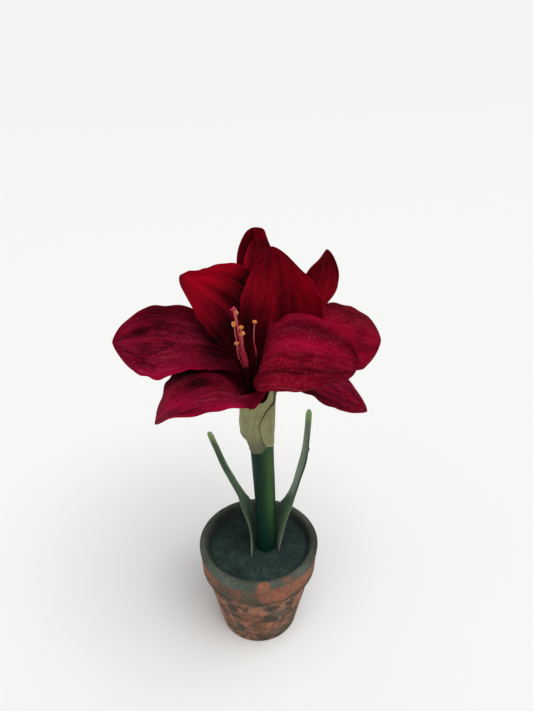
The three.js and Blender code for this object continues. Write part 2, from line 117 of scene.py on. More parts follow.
def meshPiece(name, parts, material):
    points = np.vstack([part["points"] for part in parts])
    starts = np.cumsum([0] + [len(part["points"]) for part in parts])
    faces = [[int(i + start) for i in face] for part, start in zip(parts, starts) for face in part["faces"]]
    mesh = bpy.data.meshes.new(name)
    mesh.from_pydata((points * mm).tolist(), [], faces)
    corners = np.zeros(len(mesh.loops), np.int32)
    mesh.loops.foreach_get("vertex_index", corners)
    uv = np.vstack([part["uv"] for part in parts])
    mesh.uv_layers.new(name="strip").data.foreach_set("uv", uv[corners].astype(np.float32).ravel())
    for key in parts[0]["marks"]:
        marked(mesh, key, np.concatenate([part["marks"][key] for part in parts]))
    mesh.polygons.foreach_set("use_smooth", np.ones(len(mesh.polygons), bool))
    mesh.materials.append(material)
    mesh.update()
    return linked(name, mesh)


def marked(mesh, key, values, kind="FLOAT", member="value"):  # a value for each of its points
    values = np.asarray(values, np.float32).ravel()
    mesh.attributes.new(key, kind, "POINT").data.foreach_set(member, values)


def linked(name, data):
    thing = bpy.data.objects.new(name, data)
    bpy.context.scene.collection.objects.link(thing)
    return thing


def bladePart(grid, thickness, along=None, **marks):  # a closed blade round a grid of points
    rows, columns = grid.shape[:2]
    out = unit(np.cross(np.gradient(grid, axis=0), np.gradient(grid, axis=1)))
    half = out * (np.broadcast_to(thickness, (rows, columns))[..., None] / 2)
    points = np.concatenate([(grid + half).reshape(-1, 3), (grid - half).reshape(-1, 3)])
    under = rows * columns
    index = np.arange(under).reshape(rows, columns)
    a, b, c, d = index[:-1, :-1], index[:-1, 1:], index[1:, 1:], index[1:, :-1]
    top = np.stack([a, d, c, b], -1).reshape(-1, 4)
    bottom = np.stack([a, b, c, d], -1).reshape(-1, 4) + under
    walls = []
    for edge in (index[:, 0], index[-1, :], index[::-1, -1], index[0, ::-1]):
        walls.append(np.stack([edge[:-1], edge[:-1] + under, edge[1:] + under, edge[1:]], -1))
    v = np.linspace(0, 1, rows) if along is None else along
    v, u = np.meshgrid(v, np.linspace(0, 1, columns), indexing="ij")
    uv = np.stack([u.ravel(), v.ravel()], -1)
    marks = {key: np.tile(np.broadcast_to(value, (rows, columns)).ravel(), 2) for key, value in marks.items()}
    marks["underside"] = np.repeat([0.0, 1.0], under)
    return dict(points=points, faces=np.vstack([top, bottom, *walls]), uv=np.vstack([uv, uv]), marks=marks)


def loftPart(rings, **marks):  # a closed body through rings of points, with a fan at each end
    rings = np.asarray(rings, float)
    rows, sides = rings.shape[:2]
    points = np.vstack([rings.reshape(-1, 3), rings[0].mean(0), rings[-1].mean(0)])
    index = np.arange(rows * sides).reshape(rows, sides)
    following = np.roll(index, -1, axis=1)
    quads = np.stack([index[:-1], following[:-1], following[1:], index[1:]], -1).reshape(-1, 4)
    first, last = rows * sides, rows * sides + 1
    foot = [(first, b, a) for a, b in zip(index[0], following[0])]
    head = [(last, a, b) for a, b in zip(index[-1], following[-1])]
    along = np.concatenate([np.repeat(np.linspace(0, 1, rows), sides), [0, 1]])
    around = np.concatenate([np.tile(np.linspace(0, 1, sides), rows), [0.5, 0.5]])
    marks = {key: np.full(len(points), float(value)) for key, value in {"underside": 0, **marks}.items()}
    return dict(points=points, faces=[*quads, *foot, *head], uv=np.stack([around, along], -1), marks=marks)


# Small helpers for node trees, in materials and in geometry

class Field:  # what a node gives out; it adds and multiplies as a number does
    def __init__(self, node, out=0):
        self.node = node
        self.out = out

    def put(self, kind, values, out=0, **settings):
        return put(self.node.id_data, kind, values, out, **settings)

    def maths(self, operation, *others):
        return self.put("ShaderNodeMath", dict(enumerate((self, *others))), operation=operation)

    def __add__(self, other):
        return self.maths("ADD", other)

    def __sub__(self, other):
        return self.maths("SUBTRACT", other)

    def __mul__(self, other):
        return self.maths("MULTIPLY", other)

    def __rsub__(self, number):
        return self.put("ShaderNodeMath", {0: number, 1: self}, operation="SUBTRACT")

    def scaled(self, share, more):  # a share of it, and more
        return self.maths("MULTIPLY_ADD", share, more)

    def fromMiddle(self):  # 0 at a half, 1 at 0 and at 1
        return self.scaled(2.0, -1.0).maths("ABSOLUTE")

    def ramp(self, low, high, toLow=0.0, toHigh=1.0):  # low becomes toLow and high toHigh, smoothly
        values = {0: self, 1: low, 2: high, 3: toLow, 4: toHigh}
        return self.put("ShaderNodeMapRange", values, interpolation_type="SMOOTHSTEP")

    def split(self):
        node = self.put("ShaderNodeSeparateXYZ", {0: self}).node
        return [Field(node, axis) for axis in range(3)]

    def stretched(self, x, y, z):
        return self.put("ShaderNodeMapping", {"Vector": self, "Scale": (x, y, z)})

    def noise(self, scale, detail, roughness, distortion=0.0):
        values = {"Scale": scale, "Detail": detail, "Roughness": roughness, "Distortion": distortion}
        return self.put("ShaderNodeTexNoise", {"Vector": self, **values}, "Fac")

    def bump(self, distance, strength, under=None):
        values = {"Height": self, "Distance": distance, "Strength": strength}
        if under:
            values["Normal"] = under
        return self.put("ShaderNodeBump", values)


def put(tree, kind, values=None, out=0, **settings):
    node = tree.nodes.new(kind)
    for key, value in settings.items():
        setattr(node, key, value)
    for key, value in (values or {}).items():
        fill(tree, node.inputs[key], value)
    return Field(node, out)


def fill(tree, socket, value):
    if isinstance(value, Field):
        tree.links.new(value.node.outputs[value.out], socket)
    else:
        socket.default_value = value


def layered(color, *layers):  # each layer is how much of it shows, and its colour
    for amount, cover in layers:
        color = amount.put("ShaderNodeMix", {0: amount, 6: color, 7: cover}, 2, data_type="RGBA")
    return color


def places(tree):
    return put(tree, "ShaderNodeTexCoord", out="Object")


def strips(tree):  # across and along a blade
    return put(tree, "ShaderNodeUVMap", uv_map="strip")


def mark(tree, name):
    return put(tree, "ShaderNodeAttribute", out="Fac", attribute_name=name)


def paint(red, green, blue):  # screen values from 0 to 255, as the renderer's linear colour
    shares = [v / 255 for v in (red, green, blue)]
    return tuple(v / 12.92 if v < 0.04 else ((v + 0.055) / 1.055) ** 2.4 for v in shares) + (1,)


def newMaterial(name, recipe, **constants):  # the recipe gives its colour, relief and roughness
    material = bpy.data.materials.new(name)
    material.use_nodes = True
    tree = material.node_tree
    inputs = tree.nodes["Principled BSDF"].inputs
    for key, value in constants.items():
        inputs[key.replace("_", " ")].default_value = value
    for key, value in zip(("Base Color", "Normal", "Roughness"), recipe(tree)):
        fill(tree, inputs[key], value)
    return material


def geometryTree(name, **inputs):
    tree = bpy.data.node_groups.new(name, "GeometryNodeTree")
    for side in ("OUTPUT", "INPUT"):
        tree.interface.new_socket("Geometry", in_out=side, socket_type="NodeSocketGeometry")
    kinds = {float: "NodeSocketFloat", int: "NodeSocketInt"}
    for key, value in inputs.items():
        kind = kinds.get(type(value), "NodeSocketMaterial")
        socket = tree.interface.new_socket(key, in_out="INPUT", socket_type=kind)
        if value is not None:
            socket.default_value = value
    node = tree.nodes.new("NodeGroupInput")
    return tree, {key: Field(node, key) for key in ("Geometry", *inputs)}


def joined(tree, *parts):
    join = put(tree, "GeometryNodeJoinGeometry")
    for part in parts:
        fill(tree, join.node.inputs[0], part)
    return join


def smoothed(tree, geometry):
    return put(tree, "GeometryNodeSetShadeSmooth", {"Geometry": geometry, "Shade Smooth": True})


def ended(tree, geometry, material):  # a tree's end: real geometry with its material
    real = put(tree, "GeometryNodeRealizeInstances", {"Geometry": geometry})
    painted = put(tree, "GeometryNodeSetMaterial", {"Geometry": real, "Material": material})
    put(tree, "NodeGroupOutput", {"Geometry": painted})
    return tree


def grown(piece, tree, **values):  # runs the tree on the piece and keeps the plain mesh
    modifier = piece.modifiers.new(tree.name, "NODES")
    modifier.node_group = tree
    for item in tree.interface.items_tree:
        if item.in_out == "INPUT" and item.name in values:
            modifier[item.identifier] = values[item.name]
    seen = piece.evaluated_get(bpy.context.evaluated_depsgraph_get())
    mesh = bpy.data.meshes.new_from_object(seen)
    mesh.name = piece.name
    piece.modifiers.remove(modifier)
    piece.data = mesh
    return piece


def settled(piece, slot, *nodes):  # every piece rides on the one body
    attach(piece, "root")
    if nodes:
        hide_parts(*nodes)
    print("made", piece.name, len(piece.data.polygons), "faces")
    return piece


# Camera, light and floor

studio = {
    "cameraPlace": (7.3, -368.4, 469.2),
    "cameraDown": 26.51,  # degrees below level
    "lens": 26.99,
    "nearest": 0.01,  # metres from the camera
    "floor": paint(245, 245, 244),
    "floorReach": 30.0,  # metres each way
    "air": (1.0, 1.0, 0.99, 1),
    "airStrength": 0.34,  # as light
    "backdropStrength": 0.909,  # as seen behind the floor
    "lamps": [  # direction, softness in degrees and strength
        ((0.25, -0.3, 1.0), 50, 2.1),
        ((-0.8, -0.6, 0.5), 60, 0.28),
        ((0.7, 0.6, 0.5), 60, 0.2),
    ],
}


def makeStudio():
    scene = bpy.context.scene
    scene.view_settings.view_transform = "Standard"
    camera = linked("camera", bpy.data.cameras.new("camera"))
    camera.data.lens = studio["lens"]
    camera.data.clip_start = studio["nearest"]
    camera.location = [v * mm for v in studio["cameraPlace"]]
    camera.rotation_euler = (math.radians(90 - studio["cameraDown"]), 0, 0)
    scene.camera = camera
    for k, (direction, softness, strength) in enumerate(studio["lamps"]):
        lamp = linked(f"lamp{k}", bpy.data.lights.new(f"lamp{k}", "SUN"))
        lamp.data.energy = strength
        lamp.data.angle = math.radians(softness)
        lamp.rotation_euler = Vector(direction).to_track_quat("Z", "Y").to_euler()
    world = bpy.data.worlds.new("air")
    world.use_nodes = True
    air = world.node_tree
    seen = put(air, "ShaderNodeLightPath", out="Is Camera Ray")
    strengths = {0: seen, 3: studio["airStrength"], 4: studio["backdropStrength"]}
    background = air.nodes["Background"].inputs
    background[0].default_value = studio["air"]
    fill(air, background[1], put(air, "ShaderNodeMapRange", strengths))
    scene.world = world
    mesh = bpy.data.meshes.new("floor")
    reach = studio["floorReach"]
    corners = [(-reach, -reach, 0), (reach, -reach, 0), (reach, reach, 0), (-reach, reach, 0)]
    mesh.from_pydata(corners, [], [(0, 1, 2, 3)])
    pale = newMaterial("paleFloor", lambda tree: (), Base_Color=studio["floor"], Roughness=0.9)
    mesh.materials.append(pale)
    linked("floor", mesh)


makeStudio()
print("studio ready")


# Petals: velvety crimson, with lengthwise veins

petalFinish = {
    "crimson": paint(150, 0, 16),
    "deep": paint(98, 0, 5),
    "sheenPlum": paint(108, 8, 54),
    "highlightCrimson": paint(176, 0, 28),
    "highlightMagenta": paint(172, 4, 58),
    "dark": paint(22, 0, 2),
    "throat": paint(16, 0, 1),
    "streakAndSheen": paint(162, 74, 90),
    "margin": paint(160, 8, 36),
    "back": paint(130, 6, 30),
    "veins": 70.0,  # across a petal
    "threads": 46.0,
}


def petalSurface(tree):
    look = petalFinish
    place = places(tree)
    u, v, _ = strips(tree).split()
    tone = mark(tree, "tone")
    edge = u.fromMiddle()
    own = put(tree, "ShaderNodeCombineXYZ", {0: u, 1: v, 2: tone})  # each tone has a pattern of its own
    veins = own.stretched(look["veins"], 2.4, 9.0).noise(1.0, 3.0, 0.5, 0.25)
    threads = own.stretched(look["threads"], 5.5, 9.0).noise(1.0, 4.0, 0.7, 0.15)
    patches = own.stretched(3.4, 2.4, 9.0).noise(1.0, 3.0, 0.55)
    mottle = own.stretched(6.5, 4.0, 7.0).noise(1.0, 4.0, 0.6, 0.3)
    pile = place.noise(430.0, 3.0, 0.7)
    clouds = place.noise(24.0, 3.0, 0.5)
    # tone is a petal's share of painted sheen, caught most by petals that face upwards: pale streaks, partly
    # the velvet's nap, and a plum hue
    pale = tone.ramp(0.1, 0.35, 0.3, 1.0)  # the redder petals show fewer pale streaks
    midrib = edge.ramp(0.02, 0.12, 0.3, 1.0)  # the painted throat shade is lighter on the midribs, which stay redder
    color = layered(
        look["deep"],
        (clouds.ramp(0.36, 0.64), look["crimson"]),
        (tone * patches.ramp(0.3, 0.65, 0.5, 1.05), look["sheenPlum"]),
        (veins.ramp(0.36, 0.56, 0.5, 0.0), look["dark"]),
        (threads.ramp(0.34, 0.5, 0.55, 0.0), look["dark"]),
        (pile.ramp(0.32, 0.5, 0.42, 0.0), look["dark"]),
        (pile.ramp(0.5, 0.7) * clouds.ramp(0.3, 0.6, 0.2, 0.52) * pale, look["streakAndSheen"]),
        (threads.ramp(0.52, 0.7) * (patches.ramp(0.42, 0.6, 0.2, 0.8) * pale), look["streakAndSheen"]),
        (edge.ramp(0.945, 0.99, 0.0, 0.75), look["margin"]),
        (mark(tree, "underside") * 0.55, look["back"]),
        # painted highlights, more plum on the petals with more painted sheen
        (mark(tree, "glow") * 0.75, layered(look["highlightCrimson"], (tone.ramp(0.1, 0.6), look["highlightMagenta"]))),
        (mottle.ramp(0.34, 0.52, 1.0, 0.0) * tone.ramp(0.0, 1.0, 0.3, 0.62), look["dark"]),
        # painted shade in the throat and in the creases, streaked by the threads
        (mark(tree, "shade") * midrib * threads.ramp(0.35, 0.62, 1.1, 0.84) * 0.96, look["throat"]),
    )
    relief = veins.bump(0.0009, 0.7, pile.bump(0.0006, 0.7, threads.bump(0.0007, 0.7)))
    return color, relief, pile.ramp(0.2, 0.8, 0.55, 0.8)


velvetPetal = newMaterial(
    "velvetPetal", petalSurface, Roughness=0.62, Specular_IOR_Level=0.02, Sheen_Weight=0.018,
    Sheen_Roughness=0.4, Sheen_Tint=paint(235, 130, 150),
)


bloomShape = {
    "rows": 104,
    "columns": 57,
    "foot": 4.0,  # how far a petal starts from the bloom's axis
    "thickness": 1.0,
    "marginThickness": 0.4,
    "tipThinness": 0.55,  # a share of its thickness
    "groove": 0.9,  # depth of the midrib's line
    "veins": 5.5,  # raised veins on each half
    "veinHeight": 0.08,
    "ripple": 0.7,  # of the margins
    "ragged": 0.012,
    "tube": {
        "radius": 4.6, "mouthRadius": 7.6, "solid": 7, "height": 17, "wall": 1,
        "sides": 48, "ribs": 6, "ribHeight": 0.05,  # ribs: a share of its radius
    },
}

# A petal's midrib leaves the tube, passes by its belly and ends at its tip. cup is its half angle across
# at the foot, middle and tip. wave is its margins' waves: height, count and phase. throat is where the
# painted shade at its foot fades. folds are creases along it: where across, depth, width, from, to and
# slant. bumps, narrows and rolls shape one half (-1 or 1). paintedShading paints shade or, below 0, a
# highlight on a place: along, across, its two reaches, amount and slant. tone is its share of painted sheen.
petalDefaults = dict(
    widest=0.64, blunt=0.7, claw=0.16, flare=4, neck=0.35, nub=0.8, roll=0, twist=0, swing=0, skew=0,
    bumps=(), narrows=(), rolls=(), paintedShading=(),
)
frontPetals = [
    dict(
        tip=(-113, 8, 293), belly=(11, 24, 299), width=72, rise=25, cup=(70, 12, 13), widest=0.69, blunt=0.87,
        claw=0.23, roll=9, twist=-23, swing=-20, skew=-0.08, wave=(2.5, 2, 0.3), tone=0.95,
        throat=(0.12, 0.62), tipBlunt=(0.72, 0.7),
        bumps=[(1, 0.88, 0.06, -1.5), (1, 0.66, 0.07, 2.8), (-1, 0.7, 0.035, 3), (-1, 0.79, 0.03, -1.2)],
        folds=[
            (-0.2, -1.2, 0.03, 0.56, 0.86, -2.07), (-0.02, 0.5, 0.035, 0.45, 0.8),
            (0.1, -0.6, 0.03, 0.4, 0.8, -1), (-0.32, -0.5, 0.04, 0.5, 0.85), (0.35, 0.5, 0.08, 0.3, 0.8),
            (-0.6, -0.6, 0.05, 0.35, 0.8),
        ],
        paintedShading=[
            (0.76, 0.85, 0.12, 0.3, 0.75), (0.74, 0.43, 0.06, 0.16, 0.6), (0.85, 0.29, 0.05, 0.2, 0.6),
            (0.82, -0.25, 0.06, 0.22, 0.55), (0.74, -0.9, 0.12, 0.2, -0.6), (0.42, -0.95, 0.2, 0.14, -0.6),
            (0.7, -0.2, 0.065, 0.035, 0.95, -2.07), (0.66, -0.02, 0.06, 0.02, 0.5, -2),
            (0.45, 0.1, 0.12, 0.5, 0.6), (0.66, -0.34, 0.08, 0.025, 0.5, -1.5), (0.4, -0.3, 0.1, 0.4, 0.4),
            (0.75, -0.1, 0.2, 0.6, 0.14),
        ],
    ),
    dict(
        tip=(-62, 44, 336), belly=(29, 19.5, 284), width=66, rise=29, cup=(70, 41, 27), blunt=0.92, claw=0.2,
        roll=-13, twist=23, swing=5, skew=0.18, wave=(2, 2, 2), tone=0.05, throat=(0.48, 0.86),
        tipBlunt=(0.6, 0.9),
        bumps=[
            (1, 0.93, 0.015, -1.2), (1, 0.895, 0.018, -2), (1, 0.85, 0.018, 0.2), (1, 0.8, 0.03, 1.6),
            (1, 0.975, 0.015, 1.6), (-1, 0.95, 0.04, 1.4), (-1, 0.66, 0.06, -1),
        ],
        folds=[
            (0.2, -0.9, 0.04, 0.35, 0.95), (-0.25, -0.6, 0.05, 0.3, 0.9), (0.5, -0.6, 0.05, 0.4, 0.9),
            (0.05, -0.5, 0.03, 0.4, 0.85), (-0.55, 0.5, 0.06, 0.4, 0.9),
        ],
        paintedShading=[
            (0.6, 0.8, 0.16, 0.35, 0.85), (0.7, 0.2, 0.12, 0.09, 0.4), (0.9, 0.4, 0.16, 0.7, -1),
            (0.8, -0.8, 0.12, 0.25, -0.5), (0.82, 0.85, 0.12, 0.2, -0.8), (0.66, -0.05, 0.1, 0.06, 0.35),
            (0.55, -0.2, 0.1, 0.5, 0.3), (0.76, 0.3, 0.14, 0.6, 0.14),
        ],
    ),
    dict(
        tip=(11.5, 26, 364), belly=(17, 15, 291), width=65, rise=33, cup=(70, 26, 30), widest=0.65,
        blunt=0.63, claw=0.19, roll=18, twist=-39, swing=-8, skew=0.3, wave=(1.5, 2, 0), tone=0.0,
        throat=(0.39, 0.79),
        folds=[
            (0.16, -0.9, 0.035, 0.3, 0.9), (0.38, -0.9, 0.04, 0.35, 0.9), (-0.3, 0.5, 0.07, 0.3, 0.9),
            (0.6, -0.6, 0.05, 0.4, 0.85), (-0.1, -0.5, 0.03, 0.35, 0.85), (-0.55, -0.4, 0.05, 0.35, 0.85),
        ],
        paintedShading=[
            (0.95, 0.0, 0.1, 0.6, 0.3), (0.72, 0.18, 0.16, 0.06, 0.45), (0.62, 0.4, 0.16, 0.06, 0.4),
            (0.6, -0.8, 0.2, 0.25, 0.3), (0.75, 0.75, 0.16, 0.2, -0.9), (0.78, -0.1, 0.1, 0.12, -0.3),
        ],
    ),
    dict(
        tip=(69.5, -42, 294.5), belly=(-16, -59, 328), width=59, rise=31.5, cup=(60, 10, 3), widest=0.51,
        blunt=0.47, claw=0.08, neck=0.45, roll=-5, twist=64, swing=-18, skew=-0.2, wave=(1, 2, 0), tone=0.5,
        throat=(0.22, 0.47),
        bumps=[(-1, 0.55, 0.07, -3.5), (1, 0.5, 0.035, 1.5)],
        narrows=[(1, 0.29, 0.12, 0.85), (1, 0.385, 0.05, 0.6)],
        rolls=[(1, 0.82, 1, -75, 0.35, 0.95)],
        folds=[
            (-0.03, -1.3, 0.028, 0.5, 0.8, 1.07), (-0.14, 0.6, 0.06, 0.4, 0.95),
            (0.41, -1.0, 0.03, 0.52, 0.82, 0.3), (-0.4, -0.6, 0.05, 0.45, 0.9), (0.14, 0.5, 0.04, 0.45, 0.85),
            (0.5, 0.4, 0.05, 0.5, 0.85),
        ],
        paintedShading=[
            (0.7, -0.36, 0.2, 0.14, -0.8), (0.72, -0.75, 0.2, 0.16, 0.5), (0.66, 0.35, 0.12, 0.2, 0.35),
            (0.65, -0.035, 0.08, 0.03, 0.95, 1.07), (0.67, 0.41, 0.08, 0.025, 0.85, 0.3),
            (0.85, 0.6, 0.12, 0.25, 0.25), (0.92, -0.1, 0.06, 0.4, -0.3), (0.6, -0.95, 0.25, 0.12, -0.5),
            (0.4, 0.75, 0.1, 0.4, 0.6),
        ],
    ),
    dict(
        tip=(-70, -55, 264), belly=(-31, -45, 298), width=70, rise=25.5, cup=(70, 2, 6), widest=0.62,
        blunt=0.45, claw=0.4, roll=11, twist=20, swing=1, skew=0.17, wave=(2, 2.2, 1), tone=0.85,
        throat=(-0.1, 0.14), tipBlunt=(0.3, 0.36),
        bumps=[
            (1, 0.9, 0.06, 1.5), (-1, 0.9, 0.08, 2.5), (-1, 0.7, 0.08, 1), (-1, 0.55, 0.1, 2.5),
            (-1, 0.05, 0.12, 9.5), (-1, 0.3, 0.08, -1.5), (1, 0.72, 0.04, -1),
        ],
        rolls=[(-1, -0.1, 0.1, 52, -0.3, 0.34), (-1, 0.6, 1, 50, -0.3, 0.34)],
        folds=[
            (0.2, -0.6, 0.05, 0.3, 0.9), (-0.2, 0.5, 0.06, 0.3, 0.9), (-0.55, -0.6, 0.05, 0.3, 0.9),
            (0.05, -0.5, 0.03, 0.3, 0.7), (0.5, 0.4, 0.05, 0.4, 0.9),
        ],
        paintedShading=[
            (0.48, 0.8, 0.25, 0.4, 0.85), (0.62, 0.25, 0.14, 0.3, 0.75), (0.87, -0.25, 0.13, 0.6, -1),
            (0.04, 0.9, 0.08, 0.45, 0.5), (0.06, -0.7, 0.05, 0.5, 0.3), (0.45, -0.9, 0.3, 0.2, -0.7),
            (0.62, 0.9, 0.2, 0.2, 0.6), (0.5, 0.2, 0.1, 0.2, 0.35), (0.3, -0.95, 0.25, 0.12, -1),
        ],
    ),
    dict(
        tip=(84, -24, 250), belly=(10, -8, 303.5), width=48, rise=25, cup=(70, 15, 3), widest=0.52, roll=-22,
        twist=7, swing=-20, wave=(1, 2, 0), tone=0.9, throat=(0.2, 0.5),
        folds=[(0.25, -0.6, 0.05, 0.4, 0.9), (-0.25, 0.4, 0.06, 0.4, 0.9), (-0.05, -0.5, 0.03, 0.4, 0.9)],
        paintedShading=[(0.6, -0.8, 0.15, 0.3, 0.5), (0.85, 0.5, 0.15, 0.4, 0.3), (0.65, 0.2, 0.15, 0.4, -0.5)],
    ),
]
backPetals = [
    dict(
        tip=(102.5, 34, 282), belly=(40, 33.5, 309), width=67, rise=32.5, flare=6, cup=(70, -5, -25),
        widest=0.77, blunt=0.62, roll=36, twist=6, swing=-15.5, wave=(2, 2, 0), tone=0.4, throat=(0.3, 0.6),
        tipBlunt=(0.5, 0.5),
        bumps=[(-1, 0.9, 0.05, 1.5), (-1, 0.8, 0.04, 0.8), (1, 0.88, 0.03, 1.2), (1, 0.8, 0.02, -1)],
        folds=[
            (0.2, -0.6, 0.05, 0.4, 0.95), (-0.3, -0.6, 0.05, 0.4, 0.95), (-0.05, -0.5, 0.03, 0.5, 0.9),
            (-0.6, 0.4, 0.05, 0.5, 0.9),
        ],
        paintedShading=[
            (0.72, -0.8, 0.15, 0.35, 0.45), (0.93, 0.0, 0.06, 0.6, -0.4), (0.8, 0.25, 0.12, 0.3, 0.3),
            (0.66, 0.6, 0.2, 0.5, -0.7), (0.6, -0.3, 0.1, 0.4, -0.5), (0.78, -0.1, 0.1, 0.25, -0.4),
        ],
    ),
    dict(
        tip=(-2, 70, 368), belly=(-2, 64, 290), width=57, rise=37.5, cup=(70, 20, 25), widest=0.68,
        blunt=0.37, roll=-64, twist=-29, swing=1, skew=0.4, wave=(0, 2, 0), tone=0.05, throat=(0.3, 0.75),
        rolls=[(1, 0.1, 0.75, 172, 0.35, 1.05)],
        bumps=[(1, 0.77, 0.12, 25), (-1, 0.82, 0.2, 3), (1, 0.955, 0.04, -8)],
        folds=[(-0.4, -0.5, 0.06, 0.4, 0.95), (0.8, 0.4, 0.06, 0.4, 0.95)],
        paintedShading=[
            (0.82, -0.25, 0.28, 0.6, 1.0), (0.98, 0.0, 0.04, 1.5, -0.8), (0.75, 0.25, 0.3, 0.07, -0.35),
            (0.68, 0.6, 0.2, 0.4, 0.25),
        ],
    ),
    dict(
        tip=(58, 76, 348), belly=(51.5, 69, 292.5), width=34, rise=35, flare=6, cup=(70, 31, 19.5),
        widest=0.8, blunt=0.64, roll=-39.5, twist=-11, swing=-3, skew=0.02, wave=(1, 2, 0), tone=0.0,
        throat=(0.3, 0.7), nub=2.2,
        bumps=[(1, 0.85, 0.2, 2)],
        rolls=[(1, 0.72, 1, 110, 0.4, 1.3)],
        folds=[(0.3, -0.6, 0.05, 0.4, 0.95), (-0.2, -0.5, 0.04, 0.4, 0.95), (0.05, -0.4, 0.03, 0.4, 0.95)],
        paintedShading=[(0.93, 0.1, 0.14, 0.8, 0.65), (0.7, -0.7, 0.2, 0.3, 0.35)],
    ),
    dict(
        tip=(-40, 74, 286), belly=(-18, 62, 300), width=52, rise=34, cup=(70, 20, 5), roll=8, swing=16,
        wave=(2, 2, 1), tone=0.5, throat=(0.2, 0.5),
        folds=[(0.25, -0.6, 0.06, 0.4, 0.95), (-0.2, 0.4, 0.08, 0.4, 0.9)],
    ),
    dict(
        tip=(42, 42, 330), belly=(28, 36, 300), width=46, rise=30, cup=(60, 25, 10), wave=(1, 2, 1), tone=0.2,
        throat=(0.2, 0.5),
        folds=[(0.25, -0.5, 0.06, 0.4, 0.95)],
    ),
    dict(
        tip=(84, 70, 272), belly=(56, 60, 300), width=54, rise=32, cup=(70, 14, 5), wave=(2, 2, 1), tone=0.4,
        throat=(0.2, 0.5),
        folds=[(0.25, -0.6, 0.06, 0.4, 0.95), (-0.35, 0.4, 0.08, 0.4, 0.9)],
    ),
]
blooms = {
    "front": {"base": (-1, -10, 246), "axis": (-0.22, -0.4, 0.88), "seed": 4, "petals": frontPetals},
    "back": {"base": (13, 13, 248), "axis": (0.45, 0.22, 0.86), "seed": 9, "petals": backPetals},
}
for bloom in blooms.values():
    bloom["base"] = np.array(bloom["base"], float)
    bloom["axis"] = unit(np.array(bloom["axis"], float))


def petalWidth(petal, s, t, body, rng):  # half of it, at s along and t across
    lowTip, highTip = petal.get("tipBlunt", (petal["blunt"],) * 2)  # of its two halves
    blunt = mix(petal["blunt"], np.where(t < 0, lowTip, highTip), smooth((s - 0.45) / 0.45))
    full = np.nan_to_num(np.sin(np.pi * s ** (math.log(0.5) / math.log(petal["widest"])))) ** blunt
    opening = smooth(s / petal["neck"] + 0.12)
    width = petal["width"] / 2 * (full * opening + petal["claw"] * (1 - s) ** 2)
    width = np.maximum(width, 0.02 * petal["width"] * (1 - s) + 0.3)
    width = np.maximum(width, petal["nub"] * np.sqrt(np.clip((1 - s) / 0.03, 0, 1)))
    width = width * (1 + bloomShape["ragged"] * uneven(rng, 5, 3, 11, s, t) * body * np.abs(t) ** 3)
    for half, level, reach, push in petal["bumps"]:  # swellings and dips of one margin
        width = width + push * bell(s - level, reach) * np.where(t * half > 0, np.abs(t) ** 2, 0)
    for half, level, reach, share in petal["narrows"]:
        width = width * (1 - share * bell(s - level, reach) * smooth(t * half / 0.3))
    return width


def petalLean(petal, s, t):  # how steeply the section climbs towards its margins
    lean = np.radians(eased(petal["cup"], s)) * t
    for half, begin, end, angle, low, high in petal["rolls"]:  # a margin that rolls over
        turned = smooth((t * half - begin) / (end - begin)) * between(s, low, high, 0.15)
        lean = lean + math.radians(angle) * half * turned
    return lean


def petalRelief(petal, s, t, body, rng):  # waves, groove, veins and creases
    shape = bloomShape
    height, waves, phase = petal["wave"]
    waving = np.sin(2 * np.pi * waves * s + phase + np.where(t > 0, 1.9, 0))
    lift = height * between(s, 0.2, 1.02, 0.25, 0.2) * np.abs(t) ** 3 * waving
    lift = lift - shape["groove"] * between(s, 0, 1, 0.2, 0.25) * bell(t, 0.09)
    lift = lift + shape["ripple"] * uneven(rng, 4, 2.5, 7, s, t) * body * np.abs(t) ** 5
    veinPlace = shape["veins"] * t + 0.6 * ripples(rng, 3, 0.6, 1.4)(t) + 0.25 * ripples(rng, 3, 0.6, 1.4)(s)
    lift = lift + shape["veinHeight"] * np.cos(2 * np.pi * veinPlace) * body * (1 - t**4)
    for where, depth, breadth, begin, end, *slope in petal["folds"]:
        drift = where + 0.03 * ripples(rng, 2, 0.8, 2)(s) + sum(slope) * (s - (begin + end) / 2)
        lift = lift + depth * between(s, begin, end, 0.15) * bell(t - drift, breadth)
    return lift


def petalMarks(petal, s, t):  # the values that its material reads
    begin, end = petal["throat"]
    shade = 1 - smooth((s - begin) / (end - begin)) + 0 * t
    glow = 0 * shade
    for level, place, reach, breadth, amount, *slope in petal["paintedShading"]:
        spot = abs(amount) * bell(s - level, reach) * bell(t - place - sum(slope) * (s - level), breadth)
        shade = shade + (spot if amount > 0 else 0)
        glow = glow + (spot if amount < 0 else 0)
    return {"tone": petal["tone"], "shade": np.clip(shade, 0, 1), "glow": np.clip(glow, 0, 1)}


